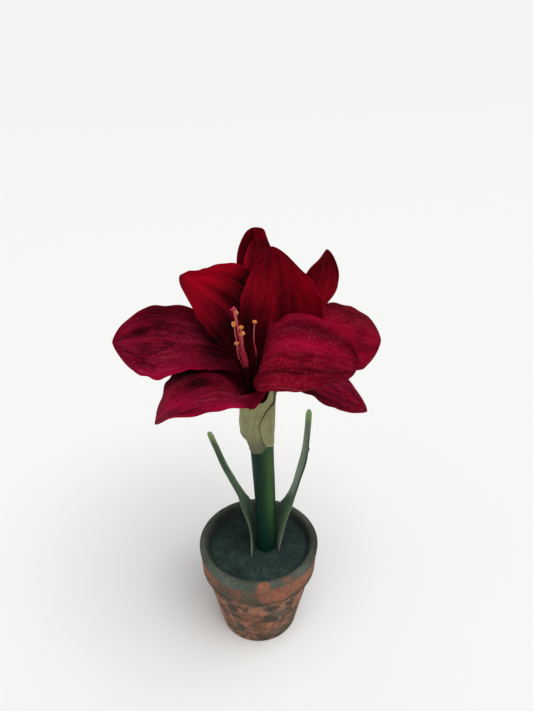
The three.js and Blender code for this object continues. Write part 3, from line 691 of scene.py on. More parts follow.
def petalPart(petal, bloom, rng):
    shape = bloomShape
    petal = {**petalDefaults, **petal}
    base, axis = bloom["base"], bloom["axis"]
    belly, tip = np.array(petal["belly"], float), np.array(petal["tip"], float)
    outward = tip - base
    outward = turnedAbout(unit(outward - axis * (outward @ axis)), axis, math.radians(petal["swing"]))
    start = base + outward * shape["foot"]
    leave = start + axis * petal["rise"] + outward * petal["flare"]
    steps = 1 - (1 - np.linspace(0, 1, shape["rows"])) ** 1.6  # closer together towards the tip
    point, along = arc(start, leave, belly, tip, steps)
    s = steps[:, None]
    t = np.linspace(-1, 1, shape["columns"])[None, :]
    facing = unit(mix(axis, -outward, 1 - smooth(s / 0.45)))
    inner = unit(facing - along * np.sum(facing * along, axis=1, keepdims=True))
    side = np.cross(along, inner)
    roll = np.radians(petal["roll"] * smooth(s / 0.6) + petal["twist"] * smooth((s - 0.4) / 0.6))
    inner, side = inner * np.cos(roll) + side * np.sin(roll), side * np.cos(roll) - inner * np.sin(roll)
    body = between(s, 0.15, 1, 0.25, 0.12)
    width = petalWidth(petal, s, t, body, rng)
    lean = petalLean(petal, s, t)
    step = t[0, 1] - t[0, 0]
    across = width * (1 + petal["skew"] * np.sign(t)) * gathered(np.cos(lean), step)
    lift = width * gathered(np.sin(lean), step) + petalRelief(petal, s, t, body, rng)
    grid = point[:, None] + side[:, None] * across[..., None] + inner[:, None] * lift[..., None]
    thin = mix(shape["thickness"], shape["marginThickness"], np.abs(t) ** 2.5)
    thin = thin * mix(1, shape["tipThinness"], smooth((s - 0.8) / 0.2))
    return bladePart(grid, thin, steps, **petalMarks(petal, s, t))


def tubePart(bloom):  # the short cup that the petals grow from
    tube = bloomShape["tube"]
    base, axis = bloom["base"], bloom["axis"]
    sideways = unit(np.cross([0, 0, 1], axis))
    other = np.cross(axis, sideways)
    middle, wall = tube["radius"] + 0.6, tube["wall"]
    profile = [
        (0.3, 0), (tube["radius"] * 0.8, 0), (tube["radius"], 0.8), (middle, tube["height"] * 0.5),
        (tube["mouthRadius"], tube["height"]), (tube["mouthRadius"] - wall, tube["height"]),
        (middle - wall, tube["height"] * 0.5), (tube["radius"] - wall, tube["solid"]), (0.3, tube["solid"]),
    ]
    turn = np.linspace(0, 2 * np.pi, tube["sides"], endpoint=False)
    ribs = 1 + tube["ribHeight"] * np.cos(tube["ribs"] * turn)
    spokes = sideways * np.cos(turn)[:, None] + other * np.sin(turn)[:, None]
    rings = [base + axis * z + spokes * (r * ribs)[:, None] for r, z in profile]
    return loftPart(rings, tone=0.4, shade=1, glow=0)


for side, bloom in blooms.items():
    rng = np.random.default_rng(bloom["seed"])
    parts = [tubePart(bloom)] + [petalPart(petal, bloom, rng) for petal in bloom["petals"]]
    settled(meshPiece(f"{side}Bloom", parts, velvetPetal), "petal_red", f"bloom_{side}")


# Stalks: the scape, the pedicels, the filaments and the styles

def stalkTree():
    tree, given = geometryTree("stalk", Radius=1.0, Step=1.0, Sides=16, Material=None)
    curve = put(tree, "GeometryNodeMeshToCurve", {"Mesh": given["Geometry"]})
    even = put(tree, "GeometryNodeResampleCurve", {"Curve": curve, "Length": given["Step"]}, mode="LENGTH")
    share = put(tree, "GeometryNodeSplineParameter", out="Factor")
    along = put(
        tree, "GeometryNodeStoreNamedAttribute", {"Geometry": even, "Name": "along", "Value": share},
        data_type="FLOAT", domain="POINT",
    )
    girth = put(tree, "GeometryNodeInputNamedAttribute", {"Name": "girth"}, data_type="FLOAT")
    ring = put(tree, "GeometryNodeCurvePrimitiveCircle", {"Resolution": given["Sides"], "Radius": 1.0})
    swept = {"Curve": along, "Profile Curve": ring, "Scale": given["Radius"] * girth, "Fill Caps": True}
    return ended(tree, smoothed(tree, put(tree, "GeometryNodeCurveToMesh", swept)), given["Material"])


def stalks(name, lines, material, step, sides):  # each line holds points and their girths
    points, girths = (np.concatenate(values) for values in zip(*lines))
    ends = set(np.cumsum([len(line) for line, _ in lines]) - 1)
    mesh = bpy.data.meshes.new(name)
    mesh.from_pydata((points * mm).tolist(), [(k, k + 1) for k in range(len(points)) if k not in ends], [])
    marked(mesh, "girth", girths)
    return grown(linked(name, mesh), stalk, Radius=mm, Step=step * mm, Sides=sides, Material=material)


stalk = stalkTree()

scape = {
    "foot": (6.8, -3.1, 86.5),
    "head": (3.5, -5, 203.5),
    "bottom": 72.4,  # buried, on the bulb
    "top": 209,  # hidden in the bract
    "bow": 0.9,
    "footRadius": 8.4,
    "headRadius": 9.9,
    "middle": 0.0098,  # metres from the pot's middle, at the floor's level
    "lean": 0.0282,  # to the left, per metre up
    "dark": paint(4, 40, 27),
    "light": paint(40, 72, 38),
    "fibreAndHighlight": paint(66, 100, 46),
    "shadow": paint(9, 48, 42),
}


def scapeSurface(tree):
    place = places(tree)
    x, _, z = place.split()
    aside = z.scaled(scape["lean"], x - scape["middle"])  # from its own middle
    fibres = place.stretched(900, 900, 14).noise(1.0, 3.0, 0.6)
    blotches = place.stretched(90, 90, 22).noise(1.0, 4.0, 0.6)
    color = layered(
        scape["dark"],
        # painted light: the right side lit, a highlight stripe on it and a shaded right edge; painted shadow
        # low down
        (aside.ramp(-0.005, 0.005), scape["light"]),
        (aside.ramp(0.001, 0.006) * aside.ramp(0.0095, 0.0065) * 0.6, scape["fibreAndHighlight"]),
        (fibres.ramp(0.5, 0.75, 0.0, 0.3), scape["fibreAndHighlight"]),
        (blotches.ramp(0.35, 0.6, 0.35, 0.0), scape["dark"]),
        (aside.ramp(0.0078, 0.0096, 0.0, 0.8), scape["dark"]),
        (z.ramp(0.087, 0.165, 0.95, 0.0), scape["shadow"]),
    )
    return color, fibres.bump(0.0003, 0.4), blotches.ramp(0.3, 0.7, 0.45, 0.6)


def scapeLine():
    z = np.linspace(scape["bottom"], scape["top"], 60)
    foot, head = np.array(scape["foot"], float), np.array(scape["head"], float)
    k = np.clip((z - foot[2]) / (head[2] - foot[2]), 0, 1)
    points = mix(foot, head, k[:, None])
    points[:, 2] = z
    wander = np.sin(k * np.pi)
    points[:, 0] += scape["bow"] * wander + 0.2 * wander * np.sin(5 * k)
    radius = mix(scape["footRadius"], scape["headRadius"], k**1.4) * (1 + 0.01 * np.sin(11 * k + 1))
    return points, radius


scapeGreen = newMaterial("scapeGreen", scapeSurface, Specular_IOR_Level=0.12)
settled(stalks("scapeStem", [scapeLine()], scapeGreen, step=2.0, sides=48), "stem_green", "scape")

pedicel = {
    "radius": 3.2,
    "ovaryRadius": 4.8,
    "bottom": 203.8,
    "feet": {"front": (0.4, -7.6), "back": (6.2, -2)},
    "rise": 14,  # straight up from its foot
    "approach": 22,  # straight on to the bloom
    "seat": 0.2,  # below the bloom
    "green": paint(92, 108, 62),
    "darkGreen": paint(64, 84, 46),
    "blush": paint(120, 52, 48),
}


def pedicelSurface(tree):
    fibres = places(tree).stretched(1100, 1100, 120).noise(1.0, 3.0, 0.6)
    color = layered(
        pedicel["green"],
        (fibres.ramp(0.35, 0.7), pedicel["darkGreen"]),
        (mark(tree, "along").ramp(0.75, 1.0, 0.0, 0.8), pedicel["blush"]),
    )
    return color, fibres.bump(0.0003, 0.5), fibres.ramp(0.3, 0.7, 0.4, 0.6)


pedicelGreen = newMaterial("pedicelGreen", pedicelSurface, Specular_IOR_Level=0.4)
for side, bloom in blooms.items():
    base, axis = bloom["base"], bloom["axis"]
    foot = np.array([*pedicel["feet"][side], pedicel["bottom"]])
    s = np.linspace(0, 1, 40)
    top = base - pedicel["seat"] * axis
    points, _ = arc(foot, foot + [0, 0, pedicel["rise"]], base - pedicel["approach"] * axis, top, s)
    girth = mix(pedicel["radius"], pedicel["ovaryRadius"], between(s, 0.3, 1.1, 0.3, 0.25))
    piece = stalks(f"{side}Pedicel", [(points, girth)], pedicelGreen, step=1.0, sides=36)
    settled(piece, "stem_green", f"pedicel_{side}")


# Stamens and style

stamens = {
    "seat": 7.3,  # where they start, above the bloom's base
    "throat": 6,  # where they part, above the seat
    "spread": 1.6,  # radius of their ring there
    "filamentRadius": 0.85,
    "styleRadius": 1.05,
    "antherLength": 4.1,
    "lobeLength": 3.2,  # of the stigma's three lobes
    "grain": 0.16,  # radius of a pollen grain
    "grains": 3.2,  # on a square millimetre
    "red": paint(178, 34, 64),
    "tip": paint(206, 100, 96),
    "deep": paint(22, 0, 3),
    "pollen": paint(240, 166, 98),
    "antherDark": paint(206, 116, 58),
    "front": {
        "stigma": (-15.3, -26, 334),
        "style": [(-5, -16, 262), (-7.8, -20, 286.5), (-11.4, -22, 307), (-13.8, -24.5, 325)],
        "anthers": [  # each hangs on a filament that passes by two points
            ((-14.1, -20, 328.8), [(-7, -17, 290), (-12.5, -19, 312)]),
            ((-15.7, -24, 322), [(-8, -21.5, 286), (-13.5, -23.5, 307)]),
            ((-10.3, -30, 322), [(-6, -23, 284), (-10, -27, 305)]),
            ((-9.9, -25, 315), [(-5, -20, 282), (-9, -23, 300)]),
            ((-14, -24, 307), [(-9, -20, 284), (-13, -22.5, 296)]),
            ((-1.1, -20, 322), [(0, -18, 290), (-1.8, -19.5, 308)]),
        ],
    },
    "back": {
        "stigma": (34, 27, 311),
        "style": [(19.5, 15.5, 262), (23, 18, 276), (28, 22.5, 293)],
        "anthers": [
            ((32, 23, 303), [(24, 18, 278), (28.5, 20.5, 291)]),
            ((26, 22, 301), [(22, 17.5, 278), (24, 20, 290)]),
            ((36, 28, 299), [(25, 19.5, 276), (31.5, 24, 288)]),
            ((29, 25, 305), [(22, 18, 278), (25.5, 22, 292)]),
            ((28, 18.5, 304), [(21.5, 15.5, 278), (25, 17, 292)]),
            ((37, 23.5, 305), [(25, 18, 276), (32, 21.5, 292)]),
        ],
    },
}


def filamentSurface(tree):
    place = places(tree)
    x, y, z = place.split()
    mottle = place.noise(500.0, 3.0, 0.6)
    shadow = y.ramp(0.004, 0.0) * (z - x).ramp(0.2925, 0.2985, 0.96, 0.0)  # painted shadow, on the front bloom's only, low in its throat
    color = layered(
        stamens["red"],
        (shadow, stamens["deep"]),
        (mark(tree, "along").ramp(0.7, 1.0, 0.0, 0.8), stamens["tip"]),
        (mottle.ramp(0.4, 0.75, 0.0, 0.3) * (1.0 - shadow), stamens["tip"]),
    )
    return color, mottle.bump(0.0002, 0.4), mottle.ramp(0.3, 0.7, 0.42, 0.6)


def antherSurface(tree):
    dust = places(tree).noise(1400.0, 4.0, 0.65)
    color = layered(stamens["antherDark"], (dust.ramp(0.35, 0.68), stamens["pollen"]))
    return color, dust.bump(0.0003, 0.7), dust.ramp(0.3, 0.7, 0.75, 0.95)


def antherTree():  # two-lobed anthers on the given points, dusted with pollen grains
    tree, given = geometryTree("anthers", Length=1.0, Grain=0.1, Density=1.0, Seed=3, Material=None)
    lobes = []
    for side in (-1, 1):
        ball = put(tree, "GeometryNodeMeshIcoSphere", {"Radius": 0.24, "Subdivisions": 4})
        shape = {"Geometry": ball, "Translation": (0.14 * side, 0, 0), "Scale": (0.95, 1.15, 2.05)}
        lobes.append(put(tree, "GeometryNodeTransform", shape))
    rough = put(tree, "ShaderNodeTexNoise", {"Scale": 6.0, "Detail": 2.0}, "Color")
    swell = put(tree, "ShaderNodeVectorMath", {0: rough, 1: (0.5, 0.5, 0.5)}, operation="SUBTRACT")
    small = put(tree, "ShaderNodeVectorMath", {0: swell, 3: 0.16}, operation="SCALE")
    lumpy = put(tree, "GeometryNodeSetPosition", {"Geometry": joined(tree, *lobes), "Offset": small})
    aim = put(tree, "GeometryNodeInputNamedAttribute", {"Name": "aim"}, data_type="FLOAT_VECTOR")
    turn = put(tree, "FunctionNodeAlignRotationToVector", {"Vector": aim}, axis="Z")
    hung = {"Points": given["Geometry"], "Instance": lumpy, "Rotation": turn, "Scale": given["Length"]}
    hanging = put(tree, "GeometryNodeInstanceOnPoints", hung)
    real = put(tree, "GeometryNodeRealizeInstances", {"Geometry": hanging})
    spread = {"Mesh": real, "Density": given["Density"], "Seed": given["Seed"]}
    spots = put(tree, "GeometryNodeDistributePointsOnFaces", spread)
    grain = put(tree, "GeometryNodeMeshIcoSphere", {"Radius": given["Grain"], "Subdivisions": 1})
    sizes = put(tree, "FunctionNodeRandomValue", {2: 0.5, 3: 1.3, 8: given["Seed"]}, 1, data_type="FLOAT")
    dust = put(tree, "GeometryNodeInstanceOnPoints", {"Points": spots, "Instance": grain, "Scale": sizes})
    return ended(tree, smoothed(tree, joined(tree, real, dust)), given["Material"])


filamentRed = newMaterial("filamentRed", filamentSurface, Specular_IOR_Level=0.4)
pollenGold = newMaterial("pollenGold", antherSurface, Specular_IOR_Level=0.2)
anther = antherTree()

for side, bloom in blooms.items():
    own = stamens[side]
    rng = np.random.default_rng(bloom["seed"] + 20)
    root = bloom["base"] + bloom["axis"] * stamens["seat"]
    throat = root + bloom["axis"] * stamens["throat"]
    u = np.linspace(0, 1, 60)
    style = throughPoints([root, throat, *own["style"], own["stigma"]], u)
    lines = [(style, stamens["styleRadius"] * (1 - 0.15 * u))]
    upward = unit(style[-1] - style[-4])
    sideways = unit(np.cross(upward, [0, 1, 0]))
    other = np.cross(upward, sideways)
    v = np.linspace(0, 1, 14)[:, None]
    for k in range(3):  # the stigma's lobes curl outwards
        turn = 2 * math.pi * k / 3 + 0.5
        out = sideways * math.cos(turn) + other * math.sin(turn)
        bend = stamens["lobeLength"] * (out * np.sin(2.2 * v) * 0.62 + upward * 0.4 * np.sin(2.8 * v))
        lines.append((own["stigma"] - upward * 0.5 + bend, 0.85 * (1 - 0.35 * v[:, 0])))
    aims = []
    for k, (at, path) in enumerate(own["anthers"]):
        turn = 2 * math.pi * k / len(own["anthers"])
        spread = np.array([math.cos(turn), math.sin(turn), 0])
        points = throughPoints([root + spread, throat + spread * stamens["spread"], *path, at], u)
        lines.append((points, stamens["filamentRadius"] * (1 - 0.45 * u)))
        aims.append(unit(unit(points[-1] - points[-4]) * 0.5 + rng.uniform(-1, 1, 3) * 0.8))
    filaments = stalks(f"{side}Filaments", lines, filamentRed, step=0.6, sides=14)
    settled(filaments, "stamen_red", f"stamens_{side}")
    mesh = bpy.data.meshes.new(f"{side}Anthers")
    mesh.from_pydata([[v * mm for v in at] for at, _ in own["anthers"]], [], [])
    marked(mesh, "aim", aims, "FLOAT_VECTOR", "vector")
    anthers = grown(
        linked(f"{side}Anthers", mesh), anther, Length=stamens["antherLength"] * mm,
        Grain=stamens["grain"] * mm, Density=stamens["grains"] / mm**2, Seed=3, Material=pollenGold,
    )
    settled(anthers, "stamen_red", f"stamens_{side}")


# Leaves

leafShape = {
    "rows": 120,
    "columns": 21,
    "thickness": 1.5,
    "marginThickness": 0.7,
    "ribs": 4,  # on each half
    "ribHeight": 0.12,
    "ripple": 0.35,  # of the margins
    "face": paint(88, 114, 86),
    "deep": paint(44, 68, 52),
    "grey": paint(146, 156, 136),
    "keelAndShade": paint(30, 54, 42),
    "edge": paint(104, 128, 94),
    "tipColor": paint(156, 188, 120),
    "foot": paint(150, 166, 146),
}
leaves = {
    "left": {
        "near": [
            (-6.3, -14, 72.4), (-6.3, -14, 88), (-6.4, -11, 103), (-8.9, -9, 122), (-14.5, -9, 140),
            (-17.6, -8, 153), (-24.6, -8, 170), (-31.3, -8, 187), (-36.8, -8, 204), (-41.7, -8, 219.5),
        ],
        "far": [
            (-2, 4, 72.4), (-1.6, 4, 88), (-2.6, 6, 103), (-4.6, 6, 122), (-7.6, 3, 140),
            (-12, -3, 153), (-19, -6, 170), (-26.2, -7, 187), (-31.8, -8, 204), (-37, -8, 219.5),
        ],
        "channel": 1.5,
        "grey": 0.25,
        "seed": 5,
    },
    "right": {
        "near": [
            (18.5, -9, 72.4), (18.8, -9, 88), (21.4, -9, 105), (25.6, -9, 128), (30.4, -8, 144),
            (32.8, -8, 155), (36.2, -8, 170), (40.3, -8, 187), (42.2, -8, 204), (43, -8, 223),
            (43.4, -8, 241),
        ],
        "far": [
            (13, 5, 72.4), (12.5, 6, 88), (13, 8, 105), (16.5, 6, 128), (23.6, 1, 144), (26.8, -4, 155),
            (30.7, -6, 170), (34.1, -7, 187), (37, -8, 204), (38.4, -8, 223), (39, -8, 241),
        ],
        "channel": -1.5,
        "grey": 0.9,
        "nick": (0.79, 0.9),  # a small tooth on its near edge: where along and how far out
        "seed": 6,
    },
}


def leafSurface(tree):
    look = leafShape
    place = places(tree)
    strip = strips(tree)
    u, v, _ = strip.split()
    tone = mark(tree, "tone")
    veins = strip.stretched(26, 3, 1).noise(1.0, 3.0, 0.55)
    patches = place.noise(60.0, 4.0, 0.6)
    grain = place.noise(900.0, 3.0, 0.6)
    dusty = tone * v.ramp(0.35, 0.6)
    lower = v.ramp(0.3, 0.5, 1.0, 0.0)
    color = layered(
        look["face"],
        (patches.ramp(0.4, 0.7, 0.0, 0.7), look["deep"]),
        (dusty, look["grey"]),
        (veins.ramp(0.36, 0.6, 0.5, 0.0), look["deep"]),
        (grain.ramp(0.35, 0.6, 0.25, 0.0), look["deep"]),
        (u.fromMiddle().ramp(0.8, 1.0, 0.0, 0.45), look["edge"]),
        (dusty * u.ramp(0.1, 0.24, 1.0, 0.0) * v.ramp(0.84, 0.9, 1.0, 0.0), look["keelAndShade"]),
        # painted shade on the inner face low down, beside the stem, less on the grey leaf
        (u.ramp(0.3, 0.6) * lower * tone.ramp(0.0, 1.0, 0.7, 0.25), look["keelAndShade"]),
        # painted light on the near margin low down
        (u.ramp(0.1, 0.4, 0.8, 0.0) * lower, look["edge"]),
        (v.ramp(0.9, 0.985, 0.0, 0.9), look["tipColor"]),
        (v.ramp(0.14, 0.3, 1.0, 0.0) * u.ramp(0.2, 0.55, 1.0, 0.2), look["foot"]),
    )
    return color, veins.bump(0.0005, 0.6), patches.ramp(0.3, 0.7, 0.5, 0.66)


def leafPart(leaf):
    shape = leafShape
    rng = np.random.default_rng(leaf["seed"])
    u = 1 - (1 - np.linspace(0, 1, shape["rows"])) ** 1.35
    near, far = throughPoints(leaf["near"], u), throughPoints(leaf["far"], u)
    if "nick" in leaf:
        where, out = leaf["nick"]
        near = near + out * unit(near - far) * bell(u - where, 0.009)[:, None]
    middle, across = (near + far) / 2, (far - near) / 2
    along = unit(np.gradient(near, axis=0) + np.gradient(far, axis=0))
    out = unit(np.cross(along, across))
    t = np.linspace(-1, 1, shape["columns"])[None, :, None]
    tipRound = np.clip(1 - ((u - 0.978) / 0.0225).clip(0) ** 2, 0, 1)[:, None, None] ** 0.5
    bend = leaf["channel"] * (1 - t**2)
    ribs = shape["ribHeight"] * np.cos(2 * np.pi * shape["ribs"] * t) * (1 - t**4)
    ripple = shape["ripple"] * np.abs(t) ** 4 * ripples(rng, 4, 2, 7)(u)[:, None, None]
    grid = middle[:, None] + tipRound * (across[:, None] * t + out[:, None] * (bend + ribs + ripple))
    thin = mix(shape["thickness"], shape["marginThickness"], np.abs(t[..., 0]) ** 3)
    return bladePart(grid, thin * mix(0.45, 1, tipRound[..., 0]), u, tone=leaf["grey"])


leafGreen = newMaterial("leafGreen", leafSurface, Specular_IOR_Level=0.2)
for side, leaf in leaves.items():
    settled(meshPiece(f"{side}Leaf", [leafPart(leaf)], leafGreen), "leaf_green", f"leaf_{side}")


# Bract: two papery valves round the head of the scape

bract = {
    "rows": 70,
    "columns": 110,
    "thickness": 0.7,
    "ridges": 9,
    "ridgeHeight": 0.12,
    "ripple": 0.35,  # of both ends
    "sections": [  # height, centre and half widths of the pair
        (196, 3.6, -5, 10.5, 10.4), (204, 3.4, -5, 10.7, 10.5), (211, 2, -5, 11.3, 10.9),
        (218.5, -0.6, -4.6, 13.6, 12.2), (228, -0.8, -4.2, 13.9, 12.8), (240, -0.4, -4, 13.7, 12.8),
        (256, 0.4, -3.6, 13.4, 12.6),
    ],
    "paper": paint(166, 164, 114),
    "shade": paint(122, 126, 88),
    "low": paint(84, 88, 66),
    "hem": paint(170, 178, 140),
    "rib": paint(178, 174, 130),
    "edge": paint(78, 84, 54),
}
valves = {  # margins: height and angles of the two side edges; bottoms and tops: share across and height
    "left": dict(
        margins=[(196, -20, -250), (214, -28, -250), (242, -20, -215)],
        bottoms=[(0, 211), (0.15, 209.5), (0.25, 205.5), (0.35, 203), (0.55, 202.2), (0.8, 203.5), (1, 205)],
        tops=[(0, 262), (0.08, 264), (0.13, 260), (0.18, 255), (0.26, 252), (0.5, 251), (0.8, 248), (1, 240)],
        over=0.0, folds=[(0.3, 0.5, 0.05, 0, 0.9), (0.52, -0.5, 0.04, 0.2, 1.1), (0.75, 0.4, 0.05, 0, 1.1)],
        dusk=1.0, seed=2,
    ),
    "right": dict(
        margins=[
            (204, -62, 42), (211.5, -68, 42), (214, -71, 42), (217, -72, 40), (224.5, -77, 34),
            (230.5, -82, 28), (235.5, -77, 23), (238.5, -72, 21), (243, -61, 18), (246.5, -46, 17),
            (249, -20, 17), (256, -8, 14), (264, -4, 12),
        ],
        bottoms=[
            (0, 214), (0.03, 211.5), (0.1, 210), (0.18, 209), (0.25, 208.7), (0.345, 208.5), (0.7, 207.5),
            (1, 207),
        ],
        tops=[(0, 255), (0.3, 261), (0.6, 264), (1, 256)],
        over=1.1, folds=[(0.2, 0.35, 0.08, 0, 0.9), (0.55, -0.3, 0.07, 0.1, 1.1)], dusk=0.25, seed=3,
    ),
}


def bractSurface(tree):
    strip = strips(tree)
    u, v, _ = strip.split()
    tone = mark(tree, "tone")
    ribs = strip.stretched(60, 2.2, 1).noise(1.0, 3.0, 0.6, 0.2)
    blotch = places(tree).noise(120.0, 4.0, 0.6)
    color = layered(
        bract["paper"],
        (blotch.ramp(0.32, 0.75, 0.1, 0.8), bract["shade"]),
        (ribs.ramp(0.5, 0.72, 0.0, 0.5), bract["rib"]),
        (v.ramp(0.05, 0.6, 0.9, 0.0) * tone, bract["low"]),
        (v.ramp(0.01, 0.05, 0.5, 0.0) * (1.0 - tone), bract["hem"]),
        (ribs.ramp(0.3, 0.46, 0.5, 0.0), bract["shade"]),
        # a darker line along the margins, partly painted shade where one valve laps the other
        (u.fromMiddle().ramp(0.94, 0.985, 0.0, 0.85), bract["edge"]),
    )
    return color, ribs.bump(0.0006, 0.6, blotch.bump(0.0004, 0.4)), ribs.ramp(0.3, 0.7, 0.55, 0.8)


def valvePart(margins, bottoms, tops, over, folds, dusk, seed):  # over: how far it stands off the sections
    rng = np.random.default_rng(seed)
    shape = bract
    a = np.linspace(0, 1, shape["columns"])[None, :]
    v = np.linspace(0, 1, shape["rows"])[:, None]
    low = np.interp(a, *zip(*bottoms))
    high = np.interp(a, *zip(*tops))
    for edge in (low, high):
        for _ in range(3):  # soften its corners
            edge[:, 1:-1] = (edge[:, :-2] + 2 * edge[:, 1:-1] + edge[:, 2:]) / 4
    z = mix(low, high, v) + shape["ripple"] * ripples(rng, 5, 2, 8)(a) * (v - 0.5) * 2
    heights, starts, ends = zip(*margins)
    turn = np.radians(mix(np.interp(z, heights, starts), np.interp(z, heights, ends), a))
    levels, x, y, halfX, halfY = zip(*shape["sections"])
    place = np.interp(z, levels, np.arange(len(levels)))
    k = np.clip(place.astype(int), 0, len(levels) - 2)
    blend = smooth(place - k)
    x, y, halfX, halfY = (mix(np.array(c)[k], np.array(c)[k + 1], blend) for c in (x, y, halfX, halfY))
    ridges = np.cos(2 * np.pi * shape["ridges"] * a + ripples(rng, 3, 0.5, 2)(v)) * smooth(v / 0.1)
    swell = over + shape["ridgeHeight"] * ridges
    swell = swell - 0.75 * over * smooth((a - 0.3) / 0.2) * (1 - smooth(v / 0.3))  # its foot hugs the stem
    for where, depth, breadth, begin, end in folds:
        drift = where + 0.03 * ripples(rng, 2, 0.5, 1.5)(v)
        swell = swell + depth * bell(a - drift, breadth) * between(v, begin, end, 0.2)
    swell = swell - shape["thickness"] / 2
    grid = np.stack([x + (halfX + swell) * np.cos(turn), y + (halfY + swell) * np.sin(turn), z], -1)
    rim = np.minimum(a, 1 - a) / 0.04
    return bladePart(grid, shape["thickness"] * mix(0.45, 1, smooth(rim)), tone=dusk)


papery = newMaterial("papery", bractSurface, Specular_IOR_Level=0.3, Sheen_Weight=0.08)
for side, valve in valves.items():
    settled(meshPiece(f"{side}Valve", [valvePart(**valve)], papery), "bract", f"bract_{side}")


# Pot

pot = {
    "height": 96,
    "rimRadius": 55,
    "bandHeight": 27.7,
    "bandFootRadius": 53.2,
    "shoulderRadius": 50.2,
    "footRadius": 36.8,
    "mouthRadius": 47.5,
    "floorRadius": 32.5,
    "floorThickness": 8,
    "lip": 2.6,
    "sides": 192,
    "ringStep": 1.6,  # between the rings of points
    "footBend": 2,
    "bandBend": 1.6,
    "dents": 60,  # small chips and dints
    "dentSizes": (1.2, 3.5),
    "dentDepths": (0.15, 0.55),
    "clay": paint(166, 106, 81),
    "clayDeep": paint(120, 76, 60),
    "clayPale": paint(190, 124, 94),
    "clayLow": paint(210, 140, 108),  # below the band
    "patina": paint(68, 84, 74),
    "patinaPale": paint(90, 108, 96),
    "patinaBand": paint(66, 72, 58),
    "patinaLow": paint(96, 102, 84),
    "sootAndShade": paint(40, 42, 38),
    "mossSpots": [  # where the patina is thicker or, below 0, thinner: place, reach and amount
        ((32, -42, 71), 10, 0.12), ((-2, -53, 69), 12, 0.08), ((16, -42, 44), 10, 0.09),
        ((-24, -36, 44), 10, 0.07), ((-18, -36, 18), 10, 0.1), ((18, -34, 12), 9, 0.1),
        ((-30, -40, 68), 14, 0.08), ((45, 20, 50), 24, 0.06), ((46, -28, 76), 20, 0.07),
        ((5, -54, 93), 7, -0.3), ((34, -42, 92), 26, -0.16), ((-20, 48, 30), 22, 0.06),
        ((-3, -45, 36), 14, -0.07), ((8, -53, 80), 9, -0.1), ((7, -42, 24), 14, -0.08),
    ],
}


def potSurface(tree):
    place = places(tree)
    x, y, z = place.split()
    broad = place.noise(24.0, 5.0, 0.62, 0.4)
    blotch = place.noise(80.0, 6.0, 0.7, 0.5)
    speckle = place.stretched(420, 420, 300).noise(1.0, 5.0, 0.8)
    grit = place.noise(620.0, 5.0, 0.7)
    rings = place.stretched(6, 6, 420).noise(1.0, 3.0, 0.6)
    low = z.ramp(0.072, 0.066)  # below the band
    inside = x.scaled(x, y * y).ramp(0.0026, 0.0023)
    clay = layered(
        pot["clayDeep"],
        (speckle.ramp(0.4, 0.56), pot["clay"]),
        (broad.ramp(0.45, 0.65, 0.0, 0.5), pot["clayDeep"]),
        (blotch.ramp(0.54, 0.68, 0.0, 0.7), pot["clayPale"]),
        (low * 0.75, pot["clayLow"]),
    )
    patina = layered(
        pot["patina"],
        (blotch.ramp(0.4, 0.66), pot["patinaPale"]),
        (speckle.ramp(0.35, 0.6, 0.35, 0.0), pot["sootAndShade"]),
        (z.ramp(0.0895, 0.084, 0.0, 0.85), pot["patinaBand"]),
        (low * 0.85, pot["patinaLow"]),
    )
    cover = low.scaled(-0.028, broad.scaled(0.25, blotch.scaled(0.44, speckle * 0.58)))
    cover = inside.scaled(0.09, cover + z.ramp(0.0855, 0.0935, 0.0, 0.24))
    for spot, reach, amount in pot["mossSpots"]:
        spot = [v * mm for v in spot]
        away = put(tree, "ShaderNodeVectorMath", {0: place, 1: spot}, "Value", operation="DISTANCE")
        cover = cover + away.ramp(reach * 0.3 * mm, reach * 1.3 * mm, amount, 0.0)
    cover = cover + z.ramp(0.084, 0.071, 0.0, 0.035)
    broken = speckle.ramp(0.4, 0.52, 0.4, 0.95).maths("MAXIMUM", z.ramp(0.0845, 0.088, 0.0, 0.9))
    body = cover.ramp(0.665, 0.8, 0.0, 0.85) * speckle.ramp(0.38, 0.52, 0.45, 1.0)
    covered = layered(cover.ramp(0.62, 0.74) * broken, (low, body))
    under = z.ramp(0.0605, 0.068) * z.ramp(0.0735, 0.069)  # painted shade in the angle below the band
    # painted shade below the band, near the floor and inside the mouth
    paintedShade = under.maths("MAXIMUM", z.ramp(0.012, 0.001, 0.0, 0.15)).maths("MAXIMUM", inside * 0.9)
    color = layered(
        clay,
        (covered, patina),
        (speckle.ramp(0.5, 0.6) * blotch.ramp(0.42, 0.6, 0.1, 0.55), patina),
        (paintedShade * blotch.ramp(0.36, 0.6, 0.3, 0.85), pot["sootAndShade"]),
        (x.ramp(0.04, 0.053, 0.0, 0.65) * z.ramp(0.086, 0.091), pot["sootAndShade"]),  # painted shade on the lip's right side
        (grit.ramp(0.58, 0.7, 0.0, 0.5), pot["sootAndShade"]),
    )
    relief = grit.bump(0.0006, 0.8, rings.bump(0.0007, 0.35, blotch.bump(0.0015, 0.5)))
    return color, relief, blotch.ramp(0.3, 0.7, 0.82, 0.97)


def rounded(r, z, wide, high, begin, end, count):  # points on a bend, from one angle to another
    turns = np.radians(np.linspace(begin, end, count + 1))
    return list(zip(r + wide * np.cos(turns), z + high * np.sin(turns)))


